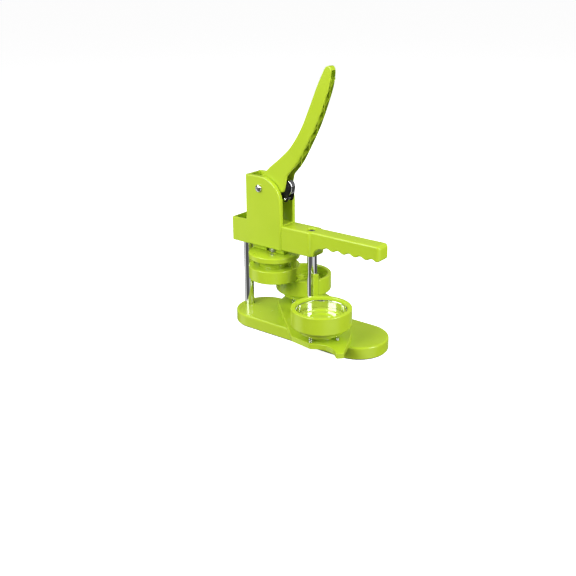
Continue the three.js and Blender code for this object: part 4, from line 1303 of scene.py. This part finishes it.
class BadgePressFinishes(bpy.types.PropertyGroup):
    """Colours of the finishes and strength of the lights"""

    plastic: bpy.props.FloatVectorProperty(
        name="Plastic", description="Main tone of the moulded plastic",
        default=(0.53, 0.70, 0.035), size=3, min=0, max=1, subtype="COLOR")
    plastic_deep: bpy.props.FloatVectorProperty(
        name="Plastic Deep", description="Darker tone that drifts through the plastic",
        default=(0.47, 0.645, 0.024), size=3, min=0, max=1, subtype="COLOR")
    plastic_light: bpy.props.FloatVectorProperty(
        name="Plastic Light", description="Tone of the fine pale specks in the plastic",
        default=(0.62, 0.76, 0.08), size=3, min=0, max=1, subtype="COLOR")
    chrome: bpy.props.FloatVectorProperty(
        name="Chrome", description="Tone of the chrome plate",
        default=(0.82, 0.83, 0.84), size=3, min=0, max=1, subtype="COLOR")
    floor: bpy.props.FloatVectorProperty(
        name="Floor", description="Tone of the floor", default=(0.92, 0.92, 0.92), size=3, min=0, max=1,
        subtype="COLOR")
    floor_glow: bpy.props.FloatProperty(
        name="Floor Glow", description="Light the floor gives off, which thins the shadows", default=0.85,
        min=0, max=2)
    room_light: bpy.props.FloatProperty(
        name="Room Light", description="Strength of the even light from all sides", default=0.20, min=0,
        max=3)
    key_power: bpy.props.FloatProperty(
        name="Key Light", description="Power of the large light in front", default=23, min=0, max=500,
        subtype="POWER", unit="POWER")
    side_power: bpy.props.FloatProperty(
        name="Side Light", description="Power of the tall light at the side", default=23, min=0, max=500,
        subtype="POWER", unit="POWER")
    edge_power: bpy.props.FloatProperty(
        name="Edge Light", description="Power of the high light that draws the upper edges", default=6,
        min=0, max=500,
        subtype="POWER", unit="POWER")
    back_power: bpy.props.FloatProperty(
        name="Back Light", description="Power of the light behind the press", default=9, min=0, max=500,
        subtype="POWER", unit="POWER")


class PressOperator:
    """What every building step shares"""

    bl_options = {"REGISTER", "UNDO"}

    def execute(self, context):
        self.build(context.scene.badge_press_sizes, context.scene.badge_press_finishes)
        return {"FINISHED"}


class BADGE_PRESS_OT_base(PressOperator, bpy.types.Operator):
    """Build the base moulding and finish its cover and pad"""

    bl_idname = "badge_press.base"
    bl_label = "Base"

    def build(self, sizes, finishes):
        build_base(sizes)
        dress_underside()


class BADGE_PRESS_OT_columns(PressOperator, bpy.types.Operator):
    """Build the two chromed columns"""

    bl_idname = "badge_press.columns"
    bl_label = "Columns"

    def build(self, sizes, finishes):
        build_columns()


class BADGE_PRESS_OT_frame(PressOperator, bpy.types.Operator):
    """Build the tower, the rear box, the arm and the grip in one moulding"""

    bl_idname = "badge_press.frame"
    bl_label = "Frame"

    def build(self, sizes, finishes):
        build_frame(sizes)


class BADGE_PRESS_OT_lever(PressOperator, bpy.types.Operator):
    """Build the hand lever and the crossed ribs in its hollow"""

    bl_idname = "badge_press.lever"
    bl_label = "Lever"

    def build(self, sizes, finishes):
        build_lever(sizes)


class BADGE_PRESS_OT_roller(PressOperator, bpy.types.Operator):
    """Build the roller, its axle and the bracket that holds it"""

    bl_idname = "badge_press.roller"
    bl_label = "Roller"

    def build(self, sizes, finishes):
        build_roller()


class BADGE_PRESS_OT_upper_die(PressOperator, bpy.types.Operator):
    """Build the ram, the upper die and its selector ring"""

    bl_idname = "badge_press.upper_die"
    bl_label = "Ram and Upper Die"

    def build(self, sizes, finishes):
        build_ram()
        build_upper_die()
        build_selector()


class BADGE_PRESS_OT_lower_dies(PressOperator, bpy.types.Operator):
    """Build the swinging plate with its two dies and their cups"""

    bl_idname = "badge_press.lower_dies"
    bl_label = "Plate and Lower Dies"

    def build(self, sizes, finishes):
        build_swing(sizes)
        build_dies()
        build_cups()


class BADGE_PRESS_OT_springs(PressOperator, bpy.types.Operator):
    """Wind the die springs and the return spring"""

    bl_idname = "badge_press.springs"
    bl_label = "Springs"

    def build(self, sizes, finishes):
        build_springs(sizes)


class BADGE_PRESS_OT_fasteners(PressOperator, bpy.types.Operator):
    """Build the screws, the pivot bolt and its nut"""

    bl_idname = "badge_press.fasteners"
    bl_label = "Screws and Bolt"

    def build(self, sizes, finishes):
        build_fasteners()


class BADGE_PRESS_OT_stage(PressOperator, bpy.types.Operator):
    """Set the floor, the lights and the camera"""

    bl_idname = "badge_press.stage"
    bl_label = "Stage"

    def build(self, sizes, finishes):
        build_stage(finishes)


OPERATORS = (
    BADGE_PRESS_OT_stage, BADGE_PRESS_OT_base, BADGE_PRESS_OT_columns, BADGE_PRESS_OT_frame,
    BADGE_PRESS_OT_lever,
    BADGE_PRESS_OT_roller, BADGE_PRESS_OT_upper_die, BADGE_PRESS_OT_lower_dies, BADGE_PRESS_OT_springs,
    BADGE_PRESS_OT_fasteners,
)


class BADGE_PRESS_PT_panel(bpy.types.Panel):
    """Lists the building steps and the values they use"""

    bl_label = "Badge Press"
    bl_idname = "BADGE_PRESS_PT_panel"
    bl_space_type = "VIEW_3D"
    bl_region_type = "UI"
    bl_category = "Badge Press"

    def draw(self, context):
        for group in (context.scene.badge_press_sizes, context.scene.badge_press_finishes):
            column = self.layout.column()
            for key in group.__annotations__:
                column.prop(group, key)
        for operator in OPERATORS:
            self.layout.operator(operator.bl_idname)


CLASSES = (BadgePressSizes, BadgePressFinishes, *OPERATORS, BADGE_PRESS_PT_panel)


def register():
    for cls in CLASSES:
        bpy.utils.register_class(cls)
    bpy.types.Scene.badge_press_sizes = bpy.props.PointerProperty(type=BadgePressSizes)
    bpy.types.Scene.badge_press_finishes = bpy.props.PointerProperty(type=BadgePressFinishes)


def unregister():
    del bpy.types.Scene.badge_press_finishes
    del bpy.types.Scene.badge_press_sizes
    for cls in reversed(CLASSES):
        bpy.utils.unregister_class(cls)


def main():
    register()
    for operator in OPERATORS:
        family, name = operator.bl_idname.split(".")
        getattr(getattr(bpy.ops, family), name)()


if __name__ == "__main__":
    main()
